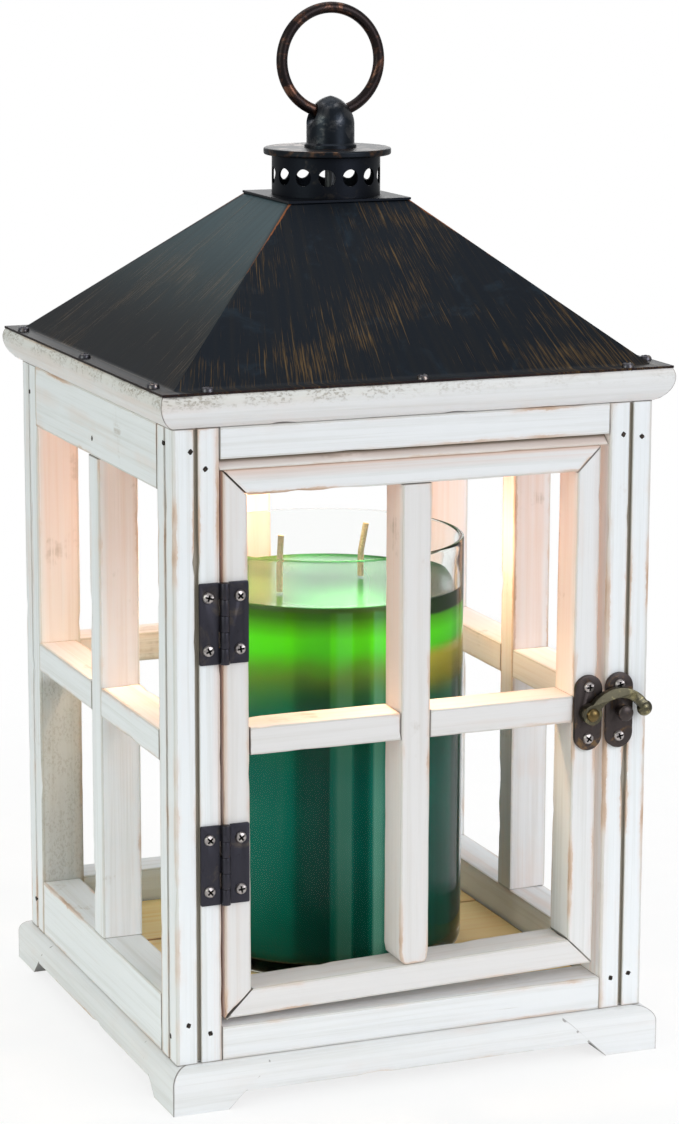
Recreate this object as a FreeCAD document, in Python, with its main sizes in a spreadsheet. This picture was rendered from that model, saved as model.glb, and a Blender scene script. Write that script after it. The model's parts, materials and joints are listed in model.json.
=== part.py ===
import FreeCAD, Part
import math
import operator
import os
from types import SimpleNamespace

import Sketcher
from FreeCAD import Placement, Rotation, Vector

# A wooden lantern that warms a jar candle from above. Millimetres, +Z up, the door looks along -Y.
# The origin is on the ground, under the middle of the body.

doc = FreeCAD.newDocument("candle_warmer_lamp")

driving = {
    # body
    "body_width": 177.0,            # over the outer faces of the posts, along X
    "body_depth": 172.0,            # the same along Y
    "post_side": 16.6,
    "post_height": 220.5,
    "kerf_width": 1.5,              # saw kerf that splits each outer face of a post
    "kerf_depth": 1.6,
    "kerf_inset": 8.2,              # from the corner of the post to the middle of the kerf
    "edge_round": 0.8,              # worn long edges of the posts
    "stick_round": 0.5,             # worn long edges of rails, muntins and bars
    "rail_depth": 15.0,
    "front_top_rail": 11.0,
    "strip_set_back": 1.0,          # the strip under that rail, which fills the slit over the door
    "strip_clear": 0.6,             # from the strip down to the door
    "front_bottom_rail": 12.1,
    "panel_top_rail": 22.7,         # the two sides and the back have taller rails
    "panel_bottom_rail": 21.0,
    "panel_stick": 11.0,            # width of the uprights and bars of the open panes
    "panel_bar_middle": 109.6,      # above the foot of the posts
    # plinth
    "plinth_height": 15.6,
    "plinth_front_overhang": 6.2,   # the back has the same
    "plinth_side_overhang": 3.6,
    "plinth_board": 24.0,           # width of a board, seen from above
    "plinth_round": 5.0,
    "foot_length": 20.4,
    "foot_slant": 6.0,
    "foot_drop": 5.7,
    # floor
    "floor_thick": 8.5,
    "floor_gap": 0.8,
    # cornice
    "cornice_height": 11.8,
    "cornice_overhang": 5.8,
    "cornice_board": 26.0,
    "cornice_belly": 8.8,           # height of the fullest line of the moulding
    "cornice_sweep": 9.6,           # radius of the lower curve
    "cornice_tuck": 0.9,            # the top edge steps back by this
    "cornice_top_sweep": 6.5,
    # roof
    "roof_rise": 54.5,
    "roof_wall": 1.1,               # of a slope, measured level
    "rim_overhang": 5.1,
    "rim_thick": 0.8,
    "roof_top_half": 22.7,
    "top_plate_lip": 0.5,
    "top_plate_thick": 0.8,
    "rim_screw_corner": 11.5,       # from the corner of the body to the outer screws of the rim
    "vent_hole_radius": 3.6,
    "vent_ring_radius": 12.0,
    "drum_radius": 19.4,
    "drum_height": 14.2,
    "drum_wall": 0.8,
    "drum_hole_radius": 3.0,
    "cap_radius": 22.8,
    "cap_thick": 2.4,
    "cap_round": 0.7,
    "cap_shift": 0.5,               # the cap stands this far off the middle of the drum, along X
    "finial_shift": 1.7,            # the finial stands this far off the middle of the drum, along X
    "dome_radius": 8.6,
    "dome_height": 18.2,
    "dome_nose": 10.2,              # height of the rounded part
    "dome_foot_radius": 9.3,
    "dome_foot_height": 1.0,
    "ring_bore_height": 12.2,       # above the foot of the dome
    "ring_radius": 18.5,            # to the middle of its wire
    "ring_wire": 2.0,
    "ring_clear": 0.3,
    "ring_throat": 3.0,             # length of the straight middle of the ring's bore
    # stud, nut, bracket, lamp
    "stud_radius": 1.95,
    "stud_clear": 0.1,
    "stud_in_dome": 7.0,
    "nut_height": 3.2,
    "nut_flats": 7.0,
    "strap_thick": 1.5,
    "strap_width": 15.0,
    "strap_drop": 38.5,             # length of the legs
    "holder_radius": 15.4,
    "holder_height": 22.0,
    "holder_gap": 0.1,              # between a leg and the holder
    "bulb_face_radius": 25.0,
    "bulb_face_thick": 2.0,
    "bulb_cone_height": 30.0,
    "bulb_neck_radius": 13.4,
    "bulb_neck_height": 14.0,
    "bulb_pin_radius": 1.6,
    "bulb_pin_length": 6.0,
    "bulb_pin_spread": 5.0,         # from the middle to a pin
    "bulb_pin_clear": 0.1,
    # lead inlet in the back
    "inlet_from_post": 26.9,
    "inlet_radius": 4.0,
    "inlet_bore": 2.6,
    "inlet_flange_radius": 6.0,
    "inlet_flange_thick": 1.2,
    # door
    "door_thick": 15.0,
    "door_top_member": 8.8,         # width of the stiles and the top rail at the upper corners
    "door_low_member": 9.8,         # the same at the lower corners
    "door_hinge_gap": 0.95,
    "door_latch_gap": 3.1,
    "door_top_gap": 3.8,
    "door_bottom_gap": 2.6,         # at the hinges
    "door_bottom_slope": 3.2,       # the hand-cut bottom edge is this much higher at the latch
    "door_muntin": 10.8,
    "door_muntin_shift": 0.5,       # towards the hinges
    "door_bar_high": 9.8,
    "door_bar_middle": 112.2,       # above the foot of the posts
    # hinges
    "hinge_low": 70.3,              # above the foot of the posts
    "hinge_high": 154.2,
    "hinge_height": 28.0,
    "hinge_reach": 8.8,             # from the pin to the edge of a leaf
    "hinge_corner": 0.6,
    "leaf_thick": 0.9,
    "leaf_clear": 1.95,             # from the pin to the other leaf's knuckles
    "knuckle_radius": 1.55,
    "knuckle_gap": 0.15,
    "knuckle_lift": 0.1,
    "hinge_pin_radius": 0.75,
    "pin_clear": 0.05,
    "hinge_screw_across": 5.6,
    "hinge_screw_along": 9.1,
    # screws
    "head_radius": 2.0,
    "head_height": 1.0,
    "head_top_radius": 1.5,
    "shank_radius": 1.05,
    "shank_length": 8.0,
    "pilot_clear": 0.05,
    "recess_long": 2.2,
    "recess_wide": 0.45,
    "recess_deep": 0.6,
    # latch
    "latch_height": 110.8,          # above the foot of the posts
    "plate_width": 10.6,
    "plate_height": 27.2,
    "plate_thick": 1.4,
    "plate_screw_along": 9.3,
    "latch_plate_shift": 0.8,       # from the middle of the stile towards the keeper
    "keeper_inset": 5.1,            # from the edge of the post to the middle of the keeper
    "rivet_radius": 1.6,
    "rivet_head_radius": 2.4,
    "rivet_head_height": 1.5,
    "hub_radius": 3.6,
    "hub_gap": 0.1,
    "hook_back": 2.7,               # from the face of the door to the back of the arm
    "hook_front": 5.1,
    "hook_sweep": 11.3,             # radius of the arm's middle line
    "hook_wide": 3.6,
    "hook_middle_across": 10.5,     # from the rivet to the middle of the sweep
    "hook_middle_down": 4.2,
    "ball_radius": 2.85,
    "ball_flat": 2.1,               # half its thickness, front to back
    "peg_radius": 1.5,
    "peg_reach": 5.9,
    "peg_head_radius": 2.9,
    "peg_head_rim": 0.7,
    "peg_head_dome": 1.3,
    # candle
    "jar_radius": 50.7,
    "jar_height": 155.2,
    "jar_wall": 2.8,
    "jar_base": 5.0,
    "jar_corner": 6.0,
    "jar_rim_round": 1.2,
    "wax_level": 138.0,             # above the foot of the jar
    "wax_gap": 0.15,
    "wick_radius": 1.1,
    "wick_height": 21.0,
    "left_wick_across": 23.6,
    "left_wick_forward": 14.9,
    "right_wick_across": 12.4,
    "right_wick_forward": 4.0,
}
KNUCKLES = 5
DRUM_HOLES = 14
DRUM_TURN = 18.0                    # degrees, of the first drum hole
PLATE_VENTS = 6
FLOOR_BOARDS = 3
HOOK_TIP_TURN = 25.0                # degrees, where the ball sits on the hook's sweep
HOOK_HUB_TURN = 158.0
WICK_LEANS = (3.0, 11.0)            # degrees

OPERATORS = {"+": operator.add, "-": operator.sub, "*": operator.mul, "/": operator.truediv}
LEVEL = {"x": Rotation(Vector(0, 1, 0), 90), "y": Rotation(Vector(1, 0, 0), -90), "z": Rotation(),
         "-y": Rotation(Vector(1, 0, 0), 90), "-x": Rotation(Vector(0, 1, 0), -90),
         "-z": Rotation(Vector(1, 0, 0), 180)}


class Size:
    """A length, with the sheet formula that it comes from."""

    def __init__(self, formula, number):
        self.formula = formula
        self.number = number

    def __add__(self, other):
        return combine("+", self, other)

    def __radd__(self, other):
        return combine("+", other, self)

    def __sub__(self, other):
        return combine("-", self, other)

    def __rsub__(self, other):
        return combine("-", other, self)

    def __mul__(self, other):
        return combine("*", self, other)

    def __rmul__(self, other):
        return combine("*", other, self)

    def __truediv__(self, other):
        return combine("/", self, other)

    def __neg__(self):
        return combine("-", 0, self)


def as_size(value):
    return value if isinstance(value, Size) else Size(repr(float(value)), float(value))


def combine(sign, left, right):
    left = as_size(left)
    right = as_size(right)
    return Size(f"({left.formula} {sign} {right.formula})", OPERATORS[sign](left.number, right.number))


sheet = doc.addObject("Spreadsheet::Sheet", "Sizes")
for row, (name, number) in enumerate(driving.items(), 1):
    sheet.set(f"A{row}", name)
    sheet.set(f"B{row}", str(number))
    sheet.setAlias(f"B{row}", name)
size = SimpleNamespace(**{name: Size(f"Sizes.{name}", number) for name, number in driving.items()})

nodes = []


def keep(label, thing):
    thing.Label = label
    nodes.append(thing)
    return thing


def bind(thing, prop, value):
    thing.setExpression(prop, as_size(value).formula)


def place(thing, x, y, z, turn=Rotation()):
    thing.Placement = Placement(Vector(), turn)
    for axis, value in zip("xyz", (x, y, z)):
        bind(thing, f"Placement.Base.{axis}", value)
    return thing


# ---- plain solids and booleans

def box(x, y, z, length, width, height):
    solid = doc.addObject("Part::Box", "Block")
    for prop, value in zip(("Length", "Width", "Height"), (length, width, height)):
        bind(solid, prop, value)
    return place(solid, x, y, z)


def rod(x, y, z, along, radius, length, sides=0):
    """A cylinder, or a prism with some sides, that starts at x, y, z."""
    solid = doc.addObject("Part::Prism" if sides else "Part::Cylinder", "Rod")
    if sides:
        solid.Polygon = sides
    bind(solid, "Circumradius" if sides else "Radius", radius)
    bind(solid, "Height", length)
    return place(solid, x, y, z, LEVEL[along])


def cone(x, y, z, along, start_radius, end_radius, length):
    solid = doc.addObject("Part::Cone", "Cone")
    for prop, value in zip(("Radius1", "Radius2", "Height"), (start_radius, end_radius, length)):
        bind(solid, prop, value)
    return place(solid, x, y, z, LEVEL[along])


def button(x, y, z, along, radius, height, whole=False):
    """A flattened ball about x, y, z, or only its half that points along."""
    solid = doc.addObject("Part::Ellipsoid", "Button")
    solid.Angle1 = -90 if whole else 0
    bind(solid, "Radius1", height)
    bind(solid, "Radius2", radius)
    return place(solid, x, y, z, LEVEL[along])


def fuse(*pieces):
    solid = doc.addObject("Part::MultiFuse", "Joined")
    solid.Shapes = list(pieces)
    return solid


def cut(base, *tools):
    solid = doc.addObject("Part::Cut", "Cut")
    solid.Base = base
    solid.Tool = tools[0] if len(tools) == 1 else fuse(*tools)
    return solid


def group(*pieces):
    bundle = doc.addObject("Part::Compound", "Group")
    bundle.Links = list(pieces)
    return bundle


# ---- bodies drawn from sketches

def new_body(name="Body", x=0, y=0, z=0, turn=0):
    return place(doc.addObject("PartDesign::Body", name), x, y, z, Rotation(Vector(0, 0, 1), turn))


def arc_between(start, end, radius):
    """The short arc from start to end; a positive radius keeps its middle on the left."""
    chord = end - start
    side = Vector(-chord.y, chord.x, 0).normalize() * math.copysign(1, radius)
    reach = math.sqrt(max(radius * radius - chord.Length * chord.Length / 4, 0))
    middle = (start + end) / 2 + side * reach
    angles = [math.atan2(point.y - middle.y, point.x - middle.x) for point in (start, end)]
    if radius < 0:
        angles.reverse()
    return Part.ArcOfCircle(Part.Circle(middle, Vector(0, 0, 1), abs(radius)), *angles)


def draw(body, role, outlines, shift=0):
    """A sketch of closed outlines. A corner is across, up and, where an arc follows, its radius."""
    sketch = body.newObject("Sketcher::SketchObject", "Outline")
    plane = next(item for item in body.Origin.OriginFeatures if item.Role == role)
    sketch.AttachmentSupport = [(plane, "")]
    sketch.MapMode = "FlatFace"
    bind(sketch, "AttachmentOffset.Base.z", shift)
    for corners in outlines:
        first = sketch.GeometryCount
        total = len(corners)
        spots = [Vector(as_size(c[0]).number, as_size(c[1]).number, 0) for c in corners]
        radii = [as_size(c[2]) if len(c) > 2 else None for c in corners]
        heads = []
        for i, radius in enumerate(radii):
            ends = spots[i], spots[(i + 1) % total]
            curve = arc_between(*ends, radius.number) if radius else Part.LineSegment(*ends)
            sketch.addGeometry(curve, False)
            heads.append(2 if radius and radius.number < 0 else 1)
        for i, corner in enumerate(corners):
            back = (i - 1) % total
            sketch.addConstraint(Sketcher.Constraint(
                "Coincident", first + back, 3 - heads[back], first + i, heads[i]))
            for kind, value in zip(("DistanceX", "DistanceY"), corner):
                number = sketch.addConstraint(Sketcher.Constraint(
                    kind, first + i, heads[i], as_size(value).number))
                bind(sketch, f"Constraints[{number}]", value)
            if radii[i]:
                number = sketch.addConstraint(Sketcher.Constraint(
                    "Radius", first + i, abs(radii[i].number)))
                bind(sketch, f"Constraints[{number}]", radii[i] if radii[i].number > 0 else -radii[i])
    return sketch


def pad(body, sketch, length, reverse=False, both=False):
    feature = body.newObject("PartDesign::Pad", "Pad")
    feature.Profile = sketch
    bind(feature, "Length", length)
    feature.Reversed = reverse
    feature.Midplane = both
    return feature


def pocket(body, sketch):
    """Cuts an outline right through, both ways."""
    feature = body.newObject("PartDesign::Pocket", "Pocket")
    feature.Profile = sketch
    feature.Type = "ThroughAll"
    feature.Midplane = True
    return feature


def turned(body, kind, sketch, axis):
    feature = body.newObject(kind, "Turned")
    feature.Profile = sketch
    feature.ReferenceAxis = (sketch, [axis])
    feature.Angle = 360
    return feature


def rounded(body, feature, radius, wanted):
    """Rounds the straight or round edges that the test wanted accepts."""
    doc.recompute()
    names = [f"Edge{i}" for i, edge in enumerate(feature.Shape.Edges, 1) if wanted(edge)]
    fillet = body.newObject("PartDesign::Fillet", "Fillet")
    fillet.Base = (feature, names)
    bind(fillet, "Radius", radius)
    return fillet


def runs_along(axis):
    """A test for straight edges that lie along one axis, or lean from it a little."""
    def test(edge):
        ends = edge.Vertexes
        if len(ends) < 2:
            return False
        way = ends[1].Point - ends[0].Point
        return abs(way.dot(axis)) > 0.99 * way.Length
    return test


ALONG_X, ALONG_Y, ALONG_Z = Vector(1, 0, 0), Vector(0, 1, 0), Vector(0, 0, 1)


def rectangle(left, low, right, high):
    return [(left, low), (right, low), (right, high), (left, high)]


def stick(body, role, outline, start, length, axis):
    """One straight length of wood with worn long edges."""
    feature = pad(body, draw(body, role, [outline], start), length)
    rounded(body, feature, size.stick_round, runs_along(axis))
    return body


# ---- levels and faces that the pieces share

half_width = size.body_width / 2
half_depth = size.body_depth / 2
post_foot = size.plinth_height
post_top = post_foot + size.post_height
rim_level = post_top + size.cornice_height
roof_top = rim_level + size.roof_rise
drum_foot = roof_top + size.top_plate_thick
cap_foot = drum_foot + size.drum_height
dome_foot = cap_foot + size.cap_thick
ring_bore = dome_foot + size.ring_bore_height
floor_level = post_foot + size.floor_thick
door_front = -half_depth

# side name, turn about Z that brings the front there, half its run, half the depth behind it
sides = (("front", 0, half_width, half_depth), ("right", 90, half_depth, half_width),
         ("back", 180, half_width, half_depth), ("left", 270, half_depth, half_width))


# ---- screws

def screw(x, y, z, along):
    """A small cross-head wood screw. Its head stands on x, y, z and points along."""
    into = {"-y": "y", "z": "-z"}[along]
    head = cone(x, y, z, along, size.head_radius, size.head_top_radius, size.head_height)
    shank = rod(x, y, z, into, size.shank_radius, size.shank_length)
    long, wide = size.recess_long, size.recess_wide
    half_long, half_wide = long / 2, wide / 2
    if along == "-y":
        deep = y - size.head_height
        slots = [box(x - half_long, deep, z - half_wide, long, size.recess_deep, wide),
                 box(x - half_wide, deep, z - half_long, wide, size.recess_deep, long)]
    else:
        deep = z + size.head_height - size.recess_deep
        slots = [box(x - half_long, y - half_wide, deep, long, wide, size.recess_deep),
                 box(x - half_wide, y - half_long, deep, wide, long, size.recess_deep)]
    return cut(fuse(head, shank), *slots)


def pilot(x, y, z, into, above=0):
    """The hole for a screw's shank, from a little above the surface."""
    start = {"y": (x, y - above, z), "-z": (x, y, z + above)}[into]
    depth = size.shank_length + above + size.pilot_clear
    return rod(*start, into, size.shank_radius + size.pilot_clear, depth)


axis_x = -(half_width - size.post_side) + size.door_hinge_gap
axis_y = door_front - size.knuckle_radius - size.knuckle_lift
hinge_levels = [post_foot + size.hinge_low, post_foot + size.hinge_high]
latch_level = post_foot + size.latch_height
door_right = half_width - size.post_side - size.door_latch_gap
door_left = axis_x
door_low = post_foot + size.front_bottom_rail + size.door_bottom_gap
door_high = post_top - size.front_top_rail - size.door_top_gap
narrow, wide = size.door_top_member, size.door_low_member
keeper_x = half_width - size.post_side + size.keeper_inset

# the corners of the door's opening, and the edges between them, which are not quite square
door_low_right = door_low + size.door_bottom_slope
inner_low_left = (door_left + wide, door_low + wide)
inner_low_right = (door_right - wide, door_low_right + wide)
inner_high_left = (door_left + narrow, door_high - narrow)
inner_high_right = (door_right - narrow, door_high - narrow)


def between(start, end, known, wanted, value):
    """Where the straight line from start to end crosses a value of its known coordinate."""
    slope = (end[wanted] - start[wanted]) / (end[known] - start[known])
    return start[wanted] + (value - start[known]) * slope


def sill(across):
    return between(inner_low_left, inner_low_right, 0, 1, across)


def hinge_stile_edge(level):
    return between(inner_low_left, inner_high_left, 1, 0, level)


def latch_stile_edge(level):
    return between(inner_low_right, inner_high_right, 1, 0, level)


latch_x = (latch_stile_edge(latch_level) + door_right) / 2 + size.latch_plate_shift

frame_screw_spots = [(axis_x - size.hinge_screw_across, level + way * size.hinge_screw_along, size.leaf_thick)
                     for level in hinge_levels for way in (-1, 1)]
keeper_screw_spots = [(keeper_x, latch_level + way * size.plate_screw_along, size.plate_thick)
                      for way in (-1, 1)]
door_screw_spots = [(axis_x + size.hinge_screw_across, level + way * size.hinge_screw_along, size.leaf_thick)
                    for level in hinge_levels for way in (-1, 1)]
latch_screw_spots = [(latch_x, latch_level + way * size.plate_screw_along, size.plate_thick)
                     for way in (-1, 1)]


def face_pilots(spots):
    """Pilot holes behind screws that sit on a plate on the front face."""
    return [pilot(x, door_front - lift, z, "y", size.pilot_clear) for x, z, lift in spots]


# ---- plinth, cornice and rails, one for each side

def moulding(turn, lift, profile, tip, outer, board, legs=None):
    """A board with a moulded outer face and mitred ends. It runs from -tip to tip, with its face at outer."""
    body = new_body("Moulding", z=lift, turn=turn)
    pad(body, draw(body, "YZ_Plane", [profile]), 2 * tip, both=True)
    ends = []
    for way in (-1, 1):
        corners = [(way * (tip + board), -outer - board), (way * (tip + board), -outer + 2 * board),
                   (way * (tip - 2 * board), -outer + 2 * board)]
        ends.append(corners if way > 0 else corners[::-1])
    pocket(body, draw(body, "XY_Plane", ends))
    if legs:
        pocket(body, draw(body, "XZ_Plane", [legs]))
    return body


def plinth_board(turn, half_run, half_off):
    facing_front = turn in (0, 180)
    outer = half_off + (size.plinth_front_overhang if facing_front else size.plinth_side_overhang)
    tip = half_run + (size.plinth_side_overhang if facing_front else size.plinth_front_overhang)
    inner = outer - size.plinth_board
    profile = [(-outer, 0), (-inner, 0), (-inner, size.plinth_height),
               (-outer + size.plinth_round, size.plinth_height, size.plinth_round),
               (-outer, size.plinth_height - size.plinth_round)]
    foot = tip - size.foot_length
    arch = foot - size.foot_slant
    below = -size.plinth_height
    legs = [(-foot, below), (foot, below), (foot, 0), (arch, size.foot_drop), (-arch, size.foot_drop),
            (-foot, 0)]
    return moulding(turn, 0, profile, tip, outer, size.plinth_board, legs)


def rim_screw_spots(name):
    """Three screws along the rim of one side, in the middle of its flat."""
    flat = size.rim_overhang / 2
    corner = size.rim_screw_corner
    across, along = half_width + flat, half_depth + flat
    places = {"front": [(way * (half_width - corner), -along) for way in (-1, 0, 1)],
              "back": [(way * (half_width - corner), along) for way in (-1, 0, 1)],
              "left": [(-across, way * (half_depth - corner)) for way in (-1, 0, 1)],
              "right": [(across, way * (half_depth - corner)) for way in (-1, 0, 1)]}
    return places[name]


def cornice_board(name, turn, half_run, half_off):
    outer = half_off + size.cornice_overhang
    inner = outer - size.cornice_board
    profile = [(-half_off, 0), (-inner, 0), (-inner, size.cornice_height),
               (-outer + size.cornice_tuck, size.cornice_height, size.cornice_top_sweep),
               (-outer, size.cornice_belly, size.cornice_sweep)]
    board = moulding(turn, post_top, profile, half_run + size.cornice_overhang, outer, size.cornice_board)
    holes = [pilot(x, y, rim_level, "-z", size.pilot_clear) for x, y in rim_screw_spots(name)]
    return cut(board, *holes)


def side_rail(turn, half_run, half_off, low, high):
    body = new_body("Rail", turn=turn)
    reach = half_run - size.post_side
    face = rectangle(-half_off, low, -half_off + size.rail_depth, high)
    return stick(body, "YZ_Plane", face, -reach, 2 * reach, ALONG_X)


inlet_level = post_top - size.panel_top_rail / 2
inlet_across = half_width - size.post_side - size.inlet_from_post

for name, turn, half_run, half_off in sides:
    keep(f"plinth_{name}", plinth_board(turn, half_run, half_off))
    keep(f"cornice_{name}", cornice_board(name, turn, half_run, half_off))
    top = size.front_top_rail if name == "front" else size.panel_top_rail
    bottom = size.front_bottom_rail if name == "front" else size.panel_bottom_rail
    top_rail = side_rail(turn, half_run, half_off, post_top - top, post_top)
    if name == "front":
        strip = new_body("SlitStrip", turn=turn)
        section = rectangle(size.strip_set_back - half_off, door_high + size.strip_clear,
                            size.rail_depth - half_off, post_top - top)
        reach = half_run - size.post_side
        pad(strip, draw(strip, "YZ_Plane", [section], -reach), 2 * reach)
        top_rail = group(top_rail, strip)
    if name == "back":
        top_rail = cut(top_rail, rod(inlet_across, half_depth + size.inlet_flange_thick, inlet_level, "-y",
                                     size.inlet_radius, size.rail_depth + 2 * size.inlet_flange_thick))
    keep(f"{name}_top_rail", top_rail)
    keep(f"{name}_bottom_rail", side_rail(turn, half_run, half_off, post_foot, post_foot + bottom))

# open panes of the sides and the back: one upright, and a short bar on each side of it
for name, turn, half_run, half_off in sides[1:]:
    half_stick = size.panel_stick / 2
    upright = new_body("Upright", z=post_foot + size.panel_bottom_rail, turn=turn)
    clear_height = size.post_height - size.panel_bottom_rail - size.panel_top_rail
    section = rectangle(-half_stick, -half_off, half_stick, -half_off + size.rail_depth)
    keep(f"{name}_muntin", stick(upright, "XY_Plane", section, 0, clear_height, ALONG_Z))
    bar_level = post_foot + size.panel_bar_middle
    section = rectangle(-half_off, bar_level - half_stick, size.rail_depth - half_off, bar_level + half_stick)
    reach = half_run - size.post_side - half_stick
    bars = [stick(new_body("Bar", turn=turn), "YZ_Plane", section, start, reach, ALONG_X)
            for start in (-half_stick - reach, half_stick)]
    keep(f"{name}_bars", group(*bars))

# ---- posts: a square stick with a kerf down both outer faces

def post(x, y, turn):
    body = new_body("Post", x=x, y=y, z=post_foot, turn=turn)
    near = size.kerf_inset - size.kerf_width / 2
    far = size.kerf_inset + size.kerf_width / 2
    side, deep = size.post_side, size.kerf_depth
    outline = [(0, 0), (near, 0), (near, deep), (far, deep), (far, 0), (side, 0), (side, side), (0, side),
               (0, far), (deep, far), (deep, near), (0, near)]
    feature = pad(body, draw(body, "XY_Plane", [outline]), size.post_height)
    upright = runs_along(ALONG_Z)
    reach = size.post_side.number

    def is_corner(edge):
        spot = edge.Vertexes[0].Point
        return upright(edge) and all(min(abs(v), abs(v - reach)) < 1e-6 for v in (spot.x, spot.y))

    rounded(body, feature, size.edge_round, is_corner)
    return body


keep("post_front_left", cut(post(-half_width, -half_depth, 0), *face_pilots(frame_screw_spots)))
keep("post_front_right", cut(post(half_width, -half_depth, 90), *face_pilots(keeper_screw_spots)))
keep("post_back_right", post(half_width, half_depth, 180))
keep("post_back_left", post(-half_width, half_depth, 270))

# ---- floor boards, side by side on the inner ledge of the plinth, notched around the posts
floor_reach = half_width - size.rail_depth - size.floor_gap / 2
floor_pitch = 2 * (half_depth - size.rail_depth) / FLOOR_BOARDS
notch_x = half_width - size.post_side - size.floor_gap / 2
notch_y = half_depth - size.post_side - size.floor_gap / 2
floor_boards = []
for i in range(FLOOR_BOARDS):
    board = box(-floor_reach, -half_depth + size.rail_depth + i * floor_pitch + size.floor_gap / 2, post_foot,
                2 * floor_reach, floor_pitch - size.floor_gap, size.floor_thick)
    if i in (0, FLOOR_BOARDS - 1):
        edge = notch_y if i else -notch_y - size.post_side
        notches = [box(x, edge, post_foot, size.post_side, size.post_side, size.floor_thick)
                   for x in (-notch_x - size.post_side, notch_x)]
        board = cut(board, *notches)
    floor_boards.append(board)
keep("floor_boards", group(*floor_boards))


# ---- roof: four slopes on a flat rim, one folded sheet

def flat_outline(half_x, half_y):
    return rectangle(-half_x, -half_y, half_x, half_y)


def lofted(body, kind, low_half, high_half):
    sketches = [draw(body, "XY_Plane", [flat_outline(*low_half)]),
                draw(body, "XY_Plane", [flat_outline(high_half, high_half)], size.roof_rise)]
    feature = body.newObject(kind, "Slopes")
    feature.Profile = sketches[0]
    feature.Sections = sketches[1:]
    return feature


shell = new_body("Roof", z=rim_level)
rim = flat_outline(half_width + size.rim_overhang, half_depth + size.rim_overhang)
pad(shell, draw(shell, "XY_Plane", [rim]), size.rim_thick)
lofted(shell, "PartDesign::AdditiveLoft", (half_width, half_depth), size.roof_top_half)
lofted(shell, "PartDesign::SubtractiveLoft", (half_width - size.roof_wall, half_depth - size.roof_wall),
       size.roof_top_half - size.roof_wall)
rim_spots = [spot for name, *_ in sides for spot in rim_screw_spots(name)]
rim_face = rim_level + size.rim_thick
keep("roof_shell", cut(shell, *[pilot(x, y, rim_face, "-z", size.pilot_clear) for x, y in rim_spots]))
keep("roof_screws", group(*[screw(x, y, rim_face, "z") for x, y in rim_spots]))

stud_hole = size.stud_radius + size.stud_clear
stud_x = size.finial_shift
plate_half = size.roof_top_half + size.top_plate_lip
vents = []
for i in range(PLATE_VENTS):
    turn = math.radians(360 * i / PLATE_VENTS)
    vents.append(rod(size.vent_ring_radius * math.cos(turn), size.vent_ring_radius * math.sin(turn), roof_top,
                     "z", size.vent_hole_radius, size.top_plate_thick))
keep("roof_top_plate", cut(box(-plate_half, -plate_half, roof_top, 2 * plate_half, 2 * plate_half,
                               size.top_plate_thick),
                           rod(stud_x, 0, roof_top, "z", stud_hole, size.top_plate_thick), *vents))

# ---- vent drum: a tube with a row of round holes
drum_bore = rod(0, 0, drum_foot, "z", size.drum_radius - size.drum_wall, size.drum_height)
punches = []
for i in range(DRUM_HOLES // 2):
    turn = math.radians(DRUM_TURN + 360 * i / DRUM_HOLES)
    punch = doc.addObject("Part::Cylinder", "Punch")
    bind(punch, "Radius", size.drum_hole_radius)
    bind(punch, "Height", 4 * size.drum_radius)
    level = drum_foot + size.drum_height / 2
    across = Rotation(Vector(0, 0, 1), Vector(math.cos(turn), math.sin(turn), 0))
    start = [-2 * size.drum_radius * part(turn) for part in (math.cos, math.sin)]
    place(punch, *start, level, across)
    punches.append(punch)
keep("vent_drum", cut(rod(0, 0, drum_foot, "z", size.drum_radius, size.drum_height), drum_bore, *punches))

# ---- cap, dome and ring
cap = new_body("Cap", x=size.cap_shift, z=cap_foot)
cap_half = [(0, 0), (size.cap_radius, 0), (size.cap_radius, size.cap_thick), (0, size.cap_thick)]
cap_disc = turned(cap, "PartDesign::Revolution", draw(cap, "XZ_Plane", [cap_half]), "V_Axis")
rounded(cap, cap_disc, size.cap_round,
        lambda edge: abs(getattr(edge.Curve, "Radius", 0) - size.cap_radius.number) < 1e-6)
keep("vent_cap", cut(cap, rod(stud_x, 0, cap_foot, "z", stud_hole, size.cap_thick)))

dome = new_body("Dome", x=stud_x, z=dome_foot, turn=90)
nose_start = size.dome_height - size.dome_nose
nose_sweep = (size.dome_radius * size.dome_radius + size.dome_nose * size.dome_nose) / (2 * size.dome_radius)
profile = [(0, 0), (size.dome_foot_radius, 0), (size.dome_foot_radius, size.dome_foot_height),
           (size.dome_radius, size.dome_foot_height + size.dome_foot_radius - size.dome_radius),
           (size.dome_radius, nose_start, nose_sweep), (0, size.dome_height)]
turned(dome, "PartDesign::Revolution", draw(dome, "XZ_Plane", [profile]), "V_Axis")
# the cross bore has a short straight throat and opens like two bells, because the ring in it is curved
bell_half = size.dome_radius + size.dome_foot_height
bell_sweep = size.ring_radius - size.ring_wire - size.ring_clear


def bell_radius(across):
    """The bore's radius at a distance from its middle, all along the same play around the ring."""
    square = bell_sweep * bell_sweep - across * across
    return size.ring_radius - Size(f"sqrt({square.formula})", math.sqrt(square.number))


throat_half = size.ring_throat / 2
bell = [(-bell_half, 0), (bell_half, 0), (bell_half, bell_radius(bell_half), -bell_sweep),
        (throat_half, bell_radius(throat_half)), (-throat_half, bell_radius(throat_half), -bell_sweep),
        (-bell_half, bell_radius(bell_half))]
waist = new_body("Bell", x=stud_x, z=ring_bore)
turned(waist, "PartDesign::Revolution", draw(waist, "XZ_Plane", [bell]), "H_Axis")
stud_seat = rod(stud_x, 0, dome_foot, "z", size.stud_radius, size.stud_in_dome)
keep("finial_dome", cut(dome, waist, stud_seat))

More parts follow.
